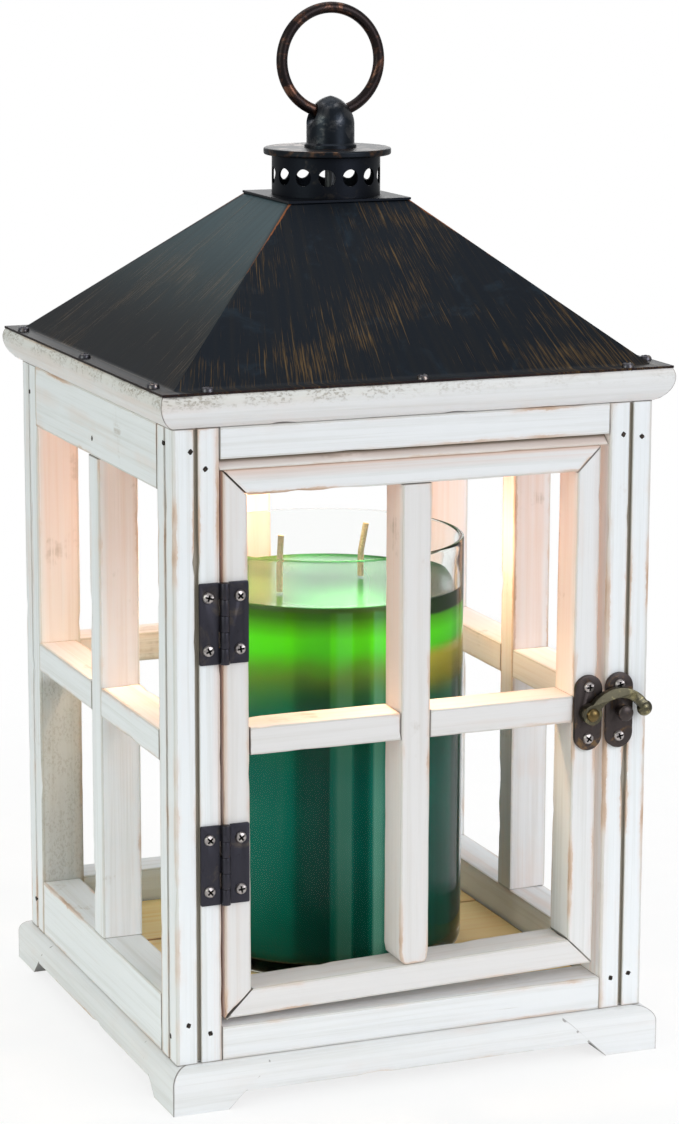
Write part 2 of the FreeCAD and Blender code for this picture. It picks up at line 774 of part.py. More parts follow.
ring = doc.addObject("Part::Torus", "Ring")
bind(ring, "Radius1", size.ring_radius)
bind(ring, "Radius2", size.ring_wire)
keep("carry_ring", place(ring, stud_x, 0, ring_bore + size.ring_radius, Rotation(Vector(1, 0, 0), 90)))

# ---- stud, nut and the strap that hangs under the top plate
strap_top = roof_top
nut_top = strap_top - size.strap_thick
stud_low = nut_top - size.nut_height - size.strap_thick
stud = rod(stud_x, 0, stud_low, "z", size.stud_radius, dome_foot + size.stud_in_dome - stud_low)
nut_low = nut_top - size.nut_height
nut_bore = rod(stud_x, 0, nut_low, "z", size.stud_radius, size.nut_height)
nut = cut(rod(stud_x, 0, nut_low, "z", size.nut_flats / math.sqrt(3), size.nut_height, sides=6), nut_bore)
keep("finial_stud", stud)
keep("stud_nut", nut)

leg_inside = size.holder_radius + size.holder_gap
leg_low = strap_top - size.strap_drop
half_strap = size.strap_width / 2
web = box(-leg_inside - size.strap_thick, -half_strap, nut_top, 2 * (leg_inside + size.strap_thick),
          size.strap_width, size.strap_thick)
legs = [box(x, -half_strap, leg_low, size.strap_thick, size.strap_width, size.strap_drop)
        for x in (-leg_inside - size.strap_thick, leg_inside)]
holder_middle = leg_low + size.holder_height / 4
clamp_holes = [rod(way * (leg_inside + size.strap_thick), 0, holder_middle, along,
                   size.shank_radius + size.pilot_clear, size.strap_thick)
               for way, along in ((-1, "x"), (1, "-x"))]
stud_way = rod(stud_x, 0, nut_top, "z", stud_hole, size.strap_thick)
keep("lamp_bracket", cut(fuse(web, *legs), stud_way, *clamp_holes))

# ---- holder and reflector bulb
holder_foot = leg_low - size.holder_height / 4
neck_foot = holder_foot - size.bulb_neck_height
cone_foot = neck_foot - size.bulb_cone_height
face_foot = cone_foot - size.bulb_face_thick
pin_hole_radius = size.bulb_pin_radius + size.bulb_pin_clear
pin_holes = [rod(way * size.bulb_pin_spread, 0, holder_foot, "z", pin_hole_radius,
                 size.bulb_pin_length + size.bulb_pin_clear) for way in (-1, 1)]
clamp_reach = size.shank_length / 2
clamp_seats = [rod(way * (size.holder_radius + size.holder_gap), 0, holder_middle, along,
                   size.shank_radius + size.pilot_clear, clamp_reach + size.holder_gap)
               for way, along in ((-1, "x"), (1, "-x"))]
keep("lamp_holder", cut(rod(0, 0, holder_foot, "z", size.holder_radius, size.holder_height),
                        *pin_holes, *clamp_seats))
clamps = []
for way, inward, outward in ((-1, "x", "-x"), (1, "-x", "x")):
    leg_face = way * (leg_inside + size.strap_thick)
    head = cone(leg_face, 0, holder_middle, outward, size.head_radius, size.head_top_radius, size.head_height)
    shank = rod(leg_face, 0, holder_middle, inward, size.shank_radius, size.strap_thick + clamp_reach)
    clamps.append(fuse(head, shank))
keep("holder_screws", group(*clamps))
bulb_pins = [rod(way * size.bulb_pin_spread, 0, holder_foot, "z", size.bulb_pin_radius, size.bulb_pin_length)
             for way in (-1, 1)]
keep("reflector_bulb", fuse(rod(0, 0, face_foot, "z", size.bulb_face_radius, size.bulb_face_thick),
                            cone(0, 0, cone_foot, "z", size.bulb_face_radius, size.bulb_neck_radius,
                                 size.bulb_cone_height),
                            rod(0, 0, neck_foot, "z", size.bulb_neck_radius, size.bulb_neck_height),
                            *bulb_pins))

# ---- grommet where the lead goes in, through the back top rail
inlet_back = half_depth + size.inlet_flange_thick
inlet_length = size.rail_depth + 2 * size.inlet_flange_thick
flanges = [rod(inlet_across, y, inlet_level, "-y", size.inlet_flange_radius, size.inlet_flange_thick)
           for y in (inlet_back, half_depth - size.rail_depth)]
keep("lead_grommet", cut(fuse(rod(inlet_across, inlet_back, inlet_level, "-y", size.inlet_radius,
                                  inlet_length), *flanges),
                         rod(inlet_across, inlet_back, inlet_level, "-y", size.inlet_bore, inlet_length)))

# ---- door: mitred stiles and rails, one upright, two short bars

def door_piece(outline, axis):
    body = new_body("DoorStick")
    feature = pad(body, draw(body, "XZ_Plane", [outline], half_depth), size.door_thick, reverse=True)
    rounded(body, feature, size.stick_round, runs_along(axis))
    return body


low_left, low_right = (door_left, door_low), (door_right, door_low_right)
high_left, high_right = (door_left, door_high), (door_right, door_high)
keep("door_hinge_stile", cut(door_piece([low_left, inner_low_left, inner_high_left, high_left], ALONG_Z),
                             *face_pilots(door_screw_spots)))
keep("door_latch_stile", cut(door_piece([low_right, high_right, inner_high_right, inner_low_right], ALONG_Z),
                             *face_pilots(latch_screw_spots)))
keep("door_bottom_rail", door_piece([low_left, low_right, inner_low_right, inner_low_left], ALONG_X))
keep("door_top_rail", door_piece([high_left, inner_high_left, inner_high_right, high_right], ALONG_X))
muntin_left = -size.door_muntin_shift - size.door_muntin / 2
muntin_right = muntin_left + size.door_muntin
muntin_top = inner_high_left[1]
keep("door_muntin", door_piece([(muntin_left, sill(muntin_left)), (muntin_right, sill(muntin_right)),
                                (muntin_right, muntin_top), (muntin_left, muntin_top)], ALONG_Z))
bar_low = post_foot + size.door_bar_middle - size.door_bar_high / 2
bar_high = bar_low + size.door_bar_high
left_bar = [(hinge_stile_edge(bar_low), bar_low), (muntin_left, bar_low), (muntin_left, bar_high),
            (hinge_stile_edge(bar_high), bar_high)]
right_bar = [(muntin_right, bar_low), (latch_stile_edge(bar_low), bar_low),
             (latch_stile_edge(bar_high), bar_high), (muntin_right, bar_high)]
keep("door_bars", group(door_piece(left_bar, ALONG_X), door_piece(right_bar, ALONG_X)))


# ---- hinges: rolled knuckles on two leaves, and a pin

def leaf(level, way, holes):
    """One leaf; way is -1 for the leaf on the post and 1 for the leaf on the door."""
    low, high = level - size.hinge_height / 2, level + size.hinge_height / 2
    near, far = axis_x + way * size.leaf_clear, axis_x + way * size.hinge_reach
    corner = size.hinge_corner
    inside = far - way * corner
    outline = [(near, low), (inside, low, corner), (far, low + corner), (far, high - corner, corner),
               (inside, high), (near, high)]
    if way < 0:
        outline = [(near, low), (near, high), (inside, high, corner), (far, high - corner),
                   (far, low + corner, corner), (inside, low)]
    body = new_body("Leaf")
    pad(body, draw(body, "XZ_Plane", [outline], half_depth), size.leaf_thick)
    knuckle = size.hinge_height / KNUCKLES
    pieces = [body]
    for i in range(KNUCKLES):
        if (i % 2 == 0) == (way < 0):
            foot = low + i * knuckle + size.knuckle_gap / 2
            tall = knuckle - size.knuckle_gap
            tail = (near, axis_x) if way < 0 else (axis_x, near)
            pieces.append(rod(axis_x, axis_y, foot, "z", size.knuckle_radius, tall))
            pieces.append(box(tail[0], door_front - size.leaf_thick, foot, tail[1] - tail[0],
                              size.leaf_thick - size.knuckle_lift, tall))
    bore = rod(axis_x, axis_y, low, "z", size.hinge_pin_radius + size.pin_clear, size.hinge_height)
    return cut(fuse(*pieces), bore, *holes)


def plate_holes(spots):
    """Clearance holes through a plate, from its front face to the wood."""
    radius = size.shank_radius + size.pilot_clear
    return [rod(x, door_front - lift, z, "y", radius, lift) for x, z, lift in spots]


frame_leaves = [leaf(level, -1, plate_holes(frame_screw_spots[2 * i:2 * i + 2]))
                for i, level in enumerate(hinge_levels)]
door_leaves = [leaf(level, 1, plate_holes(door_screw_spots[2 * i:2 * i + 2]))
               for i, level in enumerate(hinge_levels)]
pins = [rod(axis_x, axis_y, level - size.hinge_height / 2, "z", size.hinge_pin_radius, size.hinge_height)
        for level in hinge_levels]
keep("hinge_frame_leaves", group(*frame_leaves))
keep("hinge_door_leaves", group(*door_leaves))
keep("hinge_pins", group(*pins))
keep("frame_screws", group(*[screw(x, door_front - lift, z, "-y")
                             for x, z, lift in frame_screw_spots + keeper_screw_spots]))
keep("door_screws", group(*[screw(x, door_front - lift, z, "-y")
                            for x, z, lift in door_screw_spots + latch_screw_spots]))


# ---- latch: a plate with a swinging hook, and a keeper plate with a mushroom peg

def oblong_plate(x, spots, post_radius):
    half_wide, half_high = size.plate_width / 2, size.plate_height / 2
    low, high = latch_level - half_high + half_wide, latch_level + half_high - half_wide
    left, right = x - half_wide, x + half_wide
    # each round end is two quarter turns
    outline = [(left, low, half_wide), (x, latch_level - half_high, half_wide), (right, low),
               (right, high, half_wide), (x, latch_level + half_high, half_wide), (left, high)]
    body = new_body("Plate")
    pad(body, draw(body, "XZ_Plane", [outline], half_depth), size.plate_thick)
    middle = rod(x, door_front - size.plate_thick, latch_level, "y", post_radius, size.plate_thick)
    return cut(body, middle, *plate_holes(spots))


keep("latch_plate", oblong_plate(latch_x, latch_screw_spots, size.rivet_radius))
keep("keeper_plate", oblong_plate(keeper_x, keeper_screw_spots, size.peg_radius))

hook_face = size.hook_front + size.hub_gap
keep("latch_rivet", fuse(rod(latch_x, door_front, latch_level, "-y", size.rivet_radius, hook_face),
                         button(latch_x, door_front - hook_face, latch_level, "-y", size.rivet_head_radius,
                                size.rivet_head_height)))
keep("keeper_peg", fuse(rod(keeper_x, door_front, latch_level, "-y", size.peg_radius, size.peg_reach),
                        rod(keeper_x, door_front - size.peg_reach, latch_level, "-y", size.peg_head_radius,
                            size.peg_head_rim),
                        button(keeper_x, door_front - size.peg_reach - size.peg_head_rim, latch_level, "-y",
                               size.peg_head_radius, size.peg_head_dome)))

sweep_x = latch_x + size.hook_middle_across
sweep_z = latch_level - size.hook_middle_down
hook_outer = size.hook_sweep + size.hook_wide / 2
hook_inner = size.hook_sweep - size.hook_wide / 2


def on_sweep(radius, turn):
    angle = math.radians(turn)
    return sweep_x + radius * math.cos(angle), sweep_z + radius * math.sin(angle)


arm = new_body("Arm")
band = [(*on_sweep(hook_outer, HOOK_TIP_TURN), hook_outer), on_sweep(hook_outer, HOOK_HUB_TURN),
        (*on_sweep(hook_inner, HOOK_HUB_TURN), -hook_inner), on_sweep(hook_inner, HOOK_TIP_TURN)]
pad(arm, draw(arm, "XZ_Plane", [band], half_depth + size.hook_back), size.hook_front - size.hook_back)
hub_back = size.plate_thick + size.hub_gap
hub = rod(latch_x, door_front - hub_back, latch_level, "-y", size.hub_radius, size.hook_front - hub_back)
ball_x, ball_z = on_sweep(size.hook_sweep, HOOK_TIP_TURN)
ball = button(ball_x, door_front - (size.hook_back + size.hook_front) / 2, ball_z, "-y", size.ball_radius,
              size.ball_flat, whole=True)
pivot_bore = rod(latch_x, door_front - hub_back, latch_level, "-y", size.rivet_radius + size.pin_clear,
                 size.hook_front - hub_back)
keep("latch_hook", cut(fuse(hub, arm, ball), pivot_bore))

# ---- candle: a thick-based glass jar, wax and two wicks
jar_body = new_body("Jar", z=floor_level)
jar_inside = size.jar_radius - size.jar_wall
glass = [(0, 0), (size.jar_radius - size.jar_corner, 0, size.jar_corner), (size.jar_radius, size.jar_corner),
         (size.jar_radius, size.jar_height), (jar_inside, size.jar_height),
         (jar_inside, size.jar_base + size.jar_corner, -size.jar_corner),
         (jar_inside - size.jar_corner, size.jar_base), (0, size.jar_base)]
jar_turn = turned(jar_body, "PartDesign::Revolution", draw(jar_body, "XZ_Plane", [glass]), "V_Axis")
rounded(jar_body, jar_turn, size.jar_rim_round,
        lambda edge: edge.BoundBox.ZLength < 1e-6
        and abs(edge.BoundBox.ZMax - size.jar_height.number - jar_body.Placement.Base.z) < 1e-3
        or (edge.BoundBox.ZLength < 1e-6 and abs(edge.BoundBox.ZMax - size.jar_height.number) < 1e-3))
keep("candle_jar", jar_body)

wax_body = new_body("Wax", z=floor_level)
wax_radius = jar_inside - size.wax_gap
wax_half = [(0, size.jar_base), (wax_radius - size.jar_corner, size.jar_base, size.jar_corner),
            (wax_radius, size.jar_base + size.jar_corner), (wax_radius, size.wax_level), (0, size.wax_level)]
turned(wax_body, "PartDesign::Revolution", draw(wax_body, "XZ_Plane", [wax_half]), "V_Axis")
keep("candle_wax", wax_body)

wax_top = floor_level + size.wax_level
wicks = []
wick_spots = ((-size.left_wick_across, -size.left_wick_forward),
              (size.right_wick_across, -size.right_wick_forward))
for (across, along), lean in zip(wick_spots, WICK_LEANS):
    lower = rod(across, along, wax_top, "z", size.wick_radius, size.wick_height / 2)
    knee = doc.addObject("Part::Sphere", "Knee")
    bind(knee, "Radius", size.wick_radius)
    place(knee, across, along, wax_top + size.wick_height / 2)
    upper = doc.addObject("Part::Cylinder", "Upper")
    bind(upper, "Radius", size.wick_radius)
    bind(upper, "Height", size.wick_height / 2)
    place(upper, across, along, wax_top + size.wick_height / 2, Rotation(Vector(0, 1, 0), lean))
    wicks.append(fuse(lower, knee, upper))
keep("candle_wicks", group(*wicks))

# ---- check every object, then write one file for each node
doc.recompute()
failed = [item.Label for item in doc.Objects if {"Invalid", "Error"} & set(item.State)]
for item in nodes:
    if item.Shape.isNull() or not item.Shape.isValid() or not item.Shape.Solids:
        failed.append(item.Label)
if failed:
    raise RuntimeError("failed: " + ", ".join(failed))

os.makedirs("parts", exist_ok=True)
for item in nodes:
    item.Shape.exportStep(f"parts/{item.Label}.step")
    print(item.Label, len(item.Shape.Solids), round(item.Shape.Volume, 1))
print(len(nodes), "nodes")
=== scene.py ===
import json
import math
import random

import bmesh
import bpy
import numpy as np
from mathutils import Matrix, Vector, noise

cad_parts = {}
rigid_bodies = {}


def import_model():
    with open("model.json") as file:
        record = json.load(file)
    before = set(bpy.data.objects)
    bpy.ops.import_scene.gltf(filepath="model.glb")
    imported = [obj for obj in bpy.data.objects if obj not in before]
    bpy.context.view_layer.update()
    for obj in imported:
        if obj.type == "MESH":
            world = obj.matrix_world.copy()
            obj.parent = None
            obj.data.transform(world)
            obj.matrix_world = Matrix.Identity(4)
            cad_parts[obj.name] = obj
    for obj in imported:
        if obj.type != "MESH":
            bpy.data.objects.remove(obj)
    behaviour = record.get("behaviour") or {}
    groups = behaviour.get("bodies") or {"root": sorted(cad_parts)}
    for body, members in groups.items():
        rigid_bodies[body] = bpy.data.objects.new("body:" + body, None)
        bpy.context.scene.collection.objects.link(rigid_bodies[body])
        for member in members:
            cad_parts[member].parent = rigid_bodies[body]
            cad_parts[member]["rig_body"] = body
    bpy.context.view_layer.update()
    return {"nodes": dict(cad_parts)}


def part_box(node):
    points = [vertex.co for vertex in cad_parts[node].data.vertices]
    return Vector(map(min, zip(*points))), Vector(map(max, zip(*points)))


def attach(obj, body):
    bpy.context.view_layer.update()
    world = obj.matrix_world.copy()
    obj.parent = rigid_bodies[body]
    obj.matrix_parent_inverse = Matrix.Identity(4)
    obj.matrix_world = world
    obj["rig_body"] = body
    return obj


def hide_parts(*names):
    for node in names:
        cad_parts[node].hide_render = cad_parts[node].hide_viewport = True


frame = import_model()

# A whitewashed wooden lantern that melts a jar candle under a lamp. Metres, +Z up, the door looks along -Y.

mm = 0.001
black, white = (0.0, 0.0, 0.0, 1.0), (1.0, 1.0, 1.0, 1.0)


def colour(code):
    # a screen colour such as "e4e9ee", as the linear numbers that shaders use
    parts = [int(code[i:i + 2], 16) / 255 for i in (0, 2, 4)]
    return tuple(p / 12.92 if p <= 0.04045 else ((p + 0.055) / 1.055) ** 2.4 for p in parts) + (1.0,)


def linked(name, data):
    thing = bpy.data.objects.new(name, data)
    bpy.context.scene.collection.objects.link(thing)
    return thing


def smoothed(mesh, sharp):
    mesh.shade_smooth()
    mesh.set_sharp_from_angle(angle=math.radians(sharp))


def meshOf(name, points, faces=()):
    mesh = bpy.data.meshes.new(name)
    mesh.from_pydata(points, [], faces)
    mesh.update()
    return mesh


def meshFrom(name, bm):
    mesh = bpy.data.meshes.new(name)
    bm.to_mesh(mesh)
    bm.free()
    return mesh


def writeRow(mesh, name, values):
    # one number or one vector for each vertex, for the materials to read
    values = np.array(values, np.float32)
    kind, key = ("FLOAT_VECTOR", "vector") if values.ndim > 1 else ("FLOAT", "value")
    mesh.attributes.new(name, kind, "POINT").data.foreach_set(key, values.ravel())


# camera, floor and lamps

shot = {"turn": -21.99, "rise": 11.71, "roll": 0.15, "away": 1.20864, "aim": (0.00562, 0.0, 0.16821),
        "lens": 105.58, "film": 36.0, "nearest": 0.05}


def placeCamera():
    turn, rise, roll = (math.radians(shot[key]) for key in ("turn", "rise", "roll"))
    back = Vector((math.sin(turn) * math.cos(rise), -math.cos(turn) * math.cos(rise), math.sin(rise)))
    level = Vector((0, 0, 1)).cross(back).normalized()
    plumb = back.cross(level)
    right = level * math.cos(roll) + plumb * math.sin(roll)
    up = plumb * math.cos(roll) - level * math.sin(roll)
    data = bpy.data.cameras.new("lanternCamera")
    data.sensor_fit = "VERTICAL"
    data.sensor_height = shot["film"]
    data.lens = shot["lens"]
    data.clip_start = shot["nearest"]
    camera = linked("lanternCamera", data)
    place = Vector(shot["aim"]) + back * shot["away"]
    camera.matrix_world = Matrix((
        (right.x, up.x, back.x, place.x),
        (right.y, up.y, back.y, place.y),
        (right.z, up.z, back.z, place.z),
        (0, 0, 0, 1),
    ))
    bpy.context.scene.camera = camera


placeCamera()
bpy.context.scene.view_settings.view_transform = "Standard"


class Desk:
    # lays nodes out in one tree and wires their sockets
    def __init__(self, tree):
        self.tree = tree
        self.column = 0

    def feed(self, node, feeds):
        for key, value in feeds.items():
            if isinstance(value, bpy.types.NodeSocket):
                self.tree.links.new(value, node.inputs[key])
            else:
                node.inputs[key].default_value = value
        return node

    def put(self, kind, feeds=None, prefix="ShaderNode", **settings):
        node = self.tree.nodes.new(prefix + kind)
        node.location = (self.column * 190, (self.column % 3) * -160)
        self.column += 1
        for name, value in settings.items():
            setattr(node, name, value)
        return self.feed(node, feeds or {})

    def sums(self, operation, a, b=0.0):
        return self.put("Math", {0: a, 1: b}, operation=operation).outputs[0]

    def times(self, a, b):
        return self.sums("MULTIPLY", a, b)

    def plus(self, a, b):
        return self.sums("ADD", a, b)

    def less(self, a, b):
        return self.sums("SUBTRACT", a, b)

    def sway(self, noiseValue, width):
        # a noise from 0 to 1 becomes a shift to either side
        return self.times(self.less(noiseValue, 0.5), width)

    def mixed(self, share, a, b):
        return self.put("Mix", {0: share, 6: a, 7: b}, data_type="RGBA").outputs[2]

    def paint(self, tone, code, mask, share=None):
        # lays a screen colour over tone where mask is 1, thinned by share
        if share is not None:
            mask = self.times(mask, share)
        return self.mixed(mask, tone, colour(code))

    def coats(self, tone, tones, layers):
        # one coat of paint after another: which of the tones, its mask, its share
        for key, mask, share in layers:
            tone = self.paint(tone, tones[key], mask, share)
        return tone

    def rise(self, value, low, high, top=1.0):
        # 0 below low, top above high, smooth between; low may be the larger
        feeds = {"Value": value, "From Min": low, "From Max": high, "To Max": top}
        return self.put("MapRange", feeds, interpolation_type="SMOOTHSTEP").outputs["Result"]

    def part(self, value, low, high=1.0):
        # 0 at low, 1 at high, straight between
        return self.put("MapRange", {"Value": value, "From Min": low, "From Max": high}).outputs["Result"]

    def between(self, value, low, high):
        # 0 to 1 becomes low to high
        return self.put("MapRange", {"Value": value, "To Min": low, "To Max": high}).outputs["Result"]

    def ramp(self, value, stops):
        # stops are (place from 0 to 1, colour), from 0 up to 1
        node = self.put("ValToRGB", {0: value})
        elements = node.color_ramp.elements
        for at, tone in stops[1:-1]:
            elements.new(at).color = tone
        elements[0].color = stops[0][1]
        elements[len(stops) - 1].color = stops[-1][1]
        return node.outputs["Color"]

    def speckle(self, vector, scale, detail=4.0, rough=0.55, twist=0.0):
        feeds = {"Vector": vector, "Scale": scale, "Detail": detail, "Roughness": rough, "Distortion": twist}
        return self.put("TexNoise", feeds).outputs[0]

    def group(self, tree, feeds):
        return self.put("Group", feeds, node_tree=tree).outputs

    def named(self, name, output="Fac"):
        return self.put("Attribute", attribute_name=name).outputs[output]

    def blend(self, share, first, second):
        # one shader where share is 0, the other where it is 1
        return self.put("MixShader", {0: share, 1: first.outputs[0], 2: second.outputs[0]})

    def objectPlace(self):
        return self.put("TexCoord").outputs["Object"]

    def bump(self, surface, height, depth, strength=1.0):
        bump = self.put("Bump", {"Height": height, "Distance": depth, "Strength": strength})
        self.feed(surface, {"Normal": bump.outputs[0]})


def newMaterial(name):
    material = bpy.data.materials.new(name)
    material.use_nodes = True
    material.node_tree.nodes.clear()
    desk = Desk(material.node_tree)
    surface = desk.put("BsdfPrincipled")
    out = desk.put("OutputMaterial", {"Surface": surface.outputs[0]})
    return material, desk, surface, out


def nodeGroup(name, kind, inputs, outputs):
    # inputs and outputs name the sockets and say their kinds
    tree = bpy.data.node_groups.new(name, kind + "NodeTree")
    for way, sockets in (("INPUT", inputs), ("OUTPUT", outputs)):
        for label, holds in sockets.items():
            tree.interface.new_socket(name=label, in_out=way, socket_type="NodeSocket" + holds)
    desk = Desk(tree)
    entry = desk.put("oupInput", prefix="NodeGr").outputs
    leave = desk.put("oupOutput", prefix="NodeGr")
    return tree, desk, entry, leave


def shaderGroup(name, numbers, outputs):
    # takes a Vector and the numbers named
    inputs = {"Vector": "Vector", **dict.fromkeys(numbers, "Float")}
    return nodeGroup(name, "Shader", inputs, dict.fromkeys(outputs, "Float"))


studio = {
    # place, height that it looks at, size, power, tint
    "front": ((0.75, -1.45, 0.80), 0.17, 1.0, 13.4, "f8faff"),
    "left": ((-1.50, -0.55, 0.70), 0.17, 1.0, 8.6, "f6fff1"),
    "high": ((0.10, 0.25, 1.55), 0.10, 1.3, 8.0, "ffffff"),
    "behind": ((0.60, 1.40, 0.60), 0.17, 1.0, 5.0, "ffffff"),
}
lampGlow = {"size": 0.046, "high": 0.2093, "power": 0.026, "tint": (1.0, 0.72, 0.45)}
around = ((1, 0), (-1, 0), (0, 1), (0, -1))
lampRings = {
    # the rim of the beam, which passes over the wax to the middle bars
    "lampRim": {"size": 0.012, "high": 0.2085, "out": 0.0245, "power": 0.040, "shares": (0.75, 1.0, 0.7, 1.5),
                "spread": 92.0, "aimAt": (0.072, 0.104), "tint": (1.0, 0.68, 0.43)},
    # what the jar throws sideways
    "lampSides": {"size": 0.014, "high": 0.1930, "out": 0.018, "power": 0.035, "shares": (1.0, 1.0, 1.0, 1.0),
                  "spread": 160.0, "aimAt": (0.072, 0.186), "tint": (1.0, 0.52, 0.37)},
}
world = {"air": 0.42, "airTint": (0.97, 0.99, 1.0, 1.0)}
ground = {"radius": 1.1, "solid": 0.30, "clear": 0.62, "colour": "fcfcfc", "lift": 0.78, "grain": 30.0}


def areaLamp(name, at, aim, size, power, tint, shape="SQUARE"):
    data = bpy.data.lights.new(name, "AREA")
    data.shape = shape
    data.size = size
    data.energy = power
    data.color = tint
    lamp = linked(name, data)
    lamp.location = at
    lamp.rotation_euler = (Vector(aim) - Vector(at)).to_track_quat("-Z", "Y").to_euler()
    return lamp


def lightStudio():
    for name, (at, aimHigh, size, power, tint) in studio.items():
        areaLamp(name + "Softbox", at, (0.0, 0.0, aimHigh), size, power, colour(tint)[:3])
    inside = [areaLamp("lampGlow", (0, 0, lampGlow["high"]), (0.0, 0.0001, 0.0), lampGlow["size"],
                       lampGlow["power"], lampGlow["tint"], "DISK")]
    for name, spec in lampRings.items():
        out, (reach, height) = spec["out"], spec["aimAt"]
        for (x, y), share in zip(around, spec["shares"]):
            lamp = areaLamp(name, (x * out, y * out, spec["high"]), (x * reach, y * reach, height),
                            spec["size"], spec["power"] * share, spec["tint"])
            lamp.data.spread = math.radians(spec["spread"])
            inside.append(lamp)
    for lamp in inside:
        lamp.visible_camera = False
        lamp.visible_glossy = False
        lamp.visible_transmission = False

    sky = bpy.data.worlds.new("studioAir")
    bpy.context.scene.world = sky
    sky.use_nodes = True
    sky.node_tree.nodes.clear()
    desk = Desk(sky.node_tree)
    path = desk.put("LightPath").outputs
    seen = desk.sums("MAXIMUM", path["Is Camera Ray"], path["Is Transmission Ray"])
    air = desk.put("Background", {"Color": world["airTint"], "Strength": world["air"]})
    backdrop = desk.put("Background", {"Color": white, "Strength": 1.0})
    desk.put("OutputWorld", {"Surface": desk.blend(seen, air, backdrop).outputs[0]})


def layFloor():
    # a pale round floor that thins out to the white air around it
    bm = bmesh.new()
    bmesh.ops.create_circle(bm, cap_ends=True, segments=96, radius=ground["radius"])
    floor = linked("studioFloor", meshFrom("studioFloor", bm))
    material, desk, surface, out = newMaterial("paleFloor")
    place = desk.objectPlace()
    far = desk.put("VectorMath", {0: place}, operation="LENGTH").outputs["Value"]
    patches = desk.rise(desk.speckle(place, ground["grain"]), 0.35, 0.65)
    tone = desk.mixed(patches, colour(ground["colour"]), white)
    desk.feed(surface, {"Base Color": tone, "Roughness": 0.95, "Specular IOR Level": 0.0})
    path = desk.put("LightPath").outputs
    shine = desk.put("Emission", {"Color": white, "Strength": 1.0})
    lift = desk.times(path["Is Camera Ray"], ground["lift"])
    fade = desk.rise(far, ground["solid"], ground["clear"])
    both = desk.blend(fade, desk.blend(lift, surface, shine), desk.put("BsdfTransparent"))
    desk.feed(out, {"Surface": both.outputs[0]})
    floor.data.materials.append(material)


lightStudio()
layFloor()
print("camera, lamps and floor are set")


def drawnOut(desk, entry, broader):
    # the place of a pattern drawn out along its lines, and the same for a broader pattern
    stretch = desk.put("CombineXYZ", {0: entry["Along"], 1: entry["Across"], 2: entry["Across"]}).outputs[0]
    line = desk.put("VectorMath", {0: entry["Vector"], 1: stretch}, operation="MULTIPLY").outputs[0]
    return line, desk.put("VectorMath", {0: line, "Scale": broader}, operation="SCALE").outputs[0]


def makeGrainLines():
    # long fibres: the first number of Vector runs along the stick
    tree, desk, entry, leave = shaderGroup("grainLines", ("Along", "Across"), ("Fine", "Broad", "Patch"))
    fibre, wide = drawnOut(desk, entry, 0.21)
    desk.feed(leave, {"Fine": desk.speckle(fibre, 1.0, 5.0, 0.6, 0.25),
                      "Broad": desk.speckle(wide, 1.0, 4.0, 0.5, 0.6),
                      "Patch": desk.speckle(entry["Vector"], 34.0, 3.0, 0.5, 0.3)})
    return tree


def makeWornEdge():
    # 1 at an edge, 0 beyond Reach; Breakup roughens the border. Distance, Reach and Breakup are in mm
    tree, desk, entry, leave = shaderGroup("wornEdge", ("Distance", "Reach", "Breakup", "Scale"),
                                           ("Mask", "Soft"))
    coarse = desk.speckle(entry["Vector"], entry["Scale"], 5.0, 0.65, 0.4)
    away = desk.plus(entry["Distance"], desk.sway(coarse, entry["Breakup"]))
    part = desk.sums("DIVIDE", away, entry["Reach"])
    desk.feed(leave, {"Mask": desk.rise(part, 1.0, 0.55), "Soft": desk.rise(part, 2.6, 0.0)})
    return tree


def makeRubbedMetal():
    # patches where a dark finish is rubbed thin, fine pits, and a height for both
    tree, desk, entry, leave = shaderGroup("rubbedMetal", ("Scale", "Cover"), ("Rub", "Pits", "Height"))
    coarse = desk.speckle(entry["Vector"], entry["Scale"], 6.0, 0.65, 0.8)
    fine = desk.speckle(entry["Vector"], desk.times(entry["Scale"], 7.0), 3.0, 0.6)
    level = desk.less(0.75, desk.times(entry["Cover"], 0.5))
    desk.feed(leave, {"Rub": desk.rise(coarse, level, desk.plus(level, 0.14)),
                      "Pits": desk.rise(fine, 0.60, 0.72),
                      "Height": desk.plus(coarse, desk.times(fine, 0.6))})
    return tree


def makeBrushLines():
    # dry brush strokes: the first number of Vector runs along the strokes
    tree, desk, entry, leave = shaderGroup("brushLines", ("Along", "Across", "Cover"), ("Strokes", "Haze"))
    line, wide = drawnOut(desk, entry, 0.3)
    fine = desk.speckle(line, 1.0, 3.0, 0.7, 0.1)
    patch = desk.speckle(entry["Vector"], 26.0, 3.0, 0.5, 0.2)
    level = desk.less(0.80, desk.times(entry["Cover"], 0.4))
    strokes = desk.rise(desk.plus(fine, desk.sway(patch, 0.55)), level, desk.plus(level, 0.10))
    desk.feed(leave, {"Strokes": strokes,
                      "Haze": desk.rise(desk.speckle(wide, 1.0, 3.0, 0.55, 0.2), 0.42, 0.72)})
    return tree


grainLines = makeGrainLines()
wornEdge = makeWornEdge()
rubbedMetal = makeRubbedMetal()
brushLines = makeBrushLines()


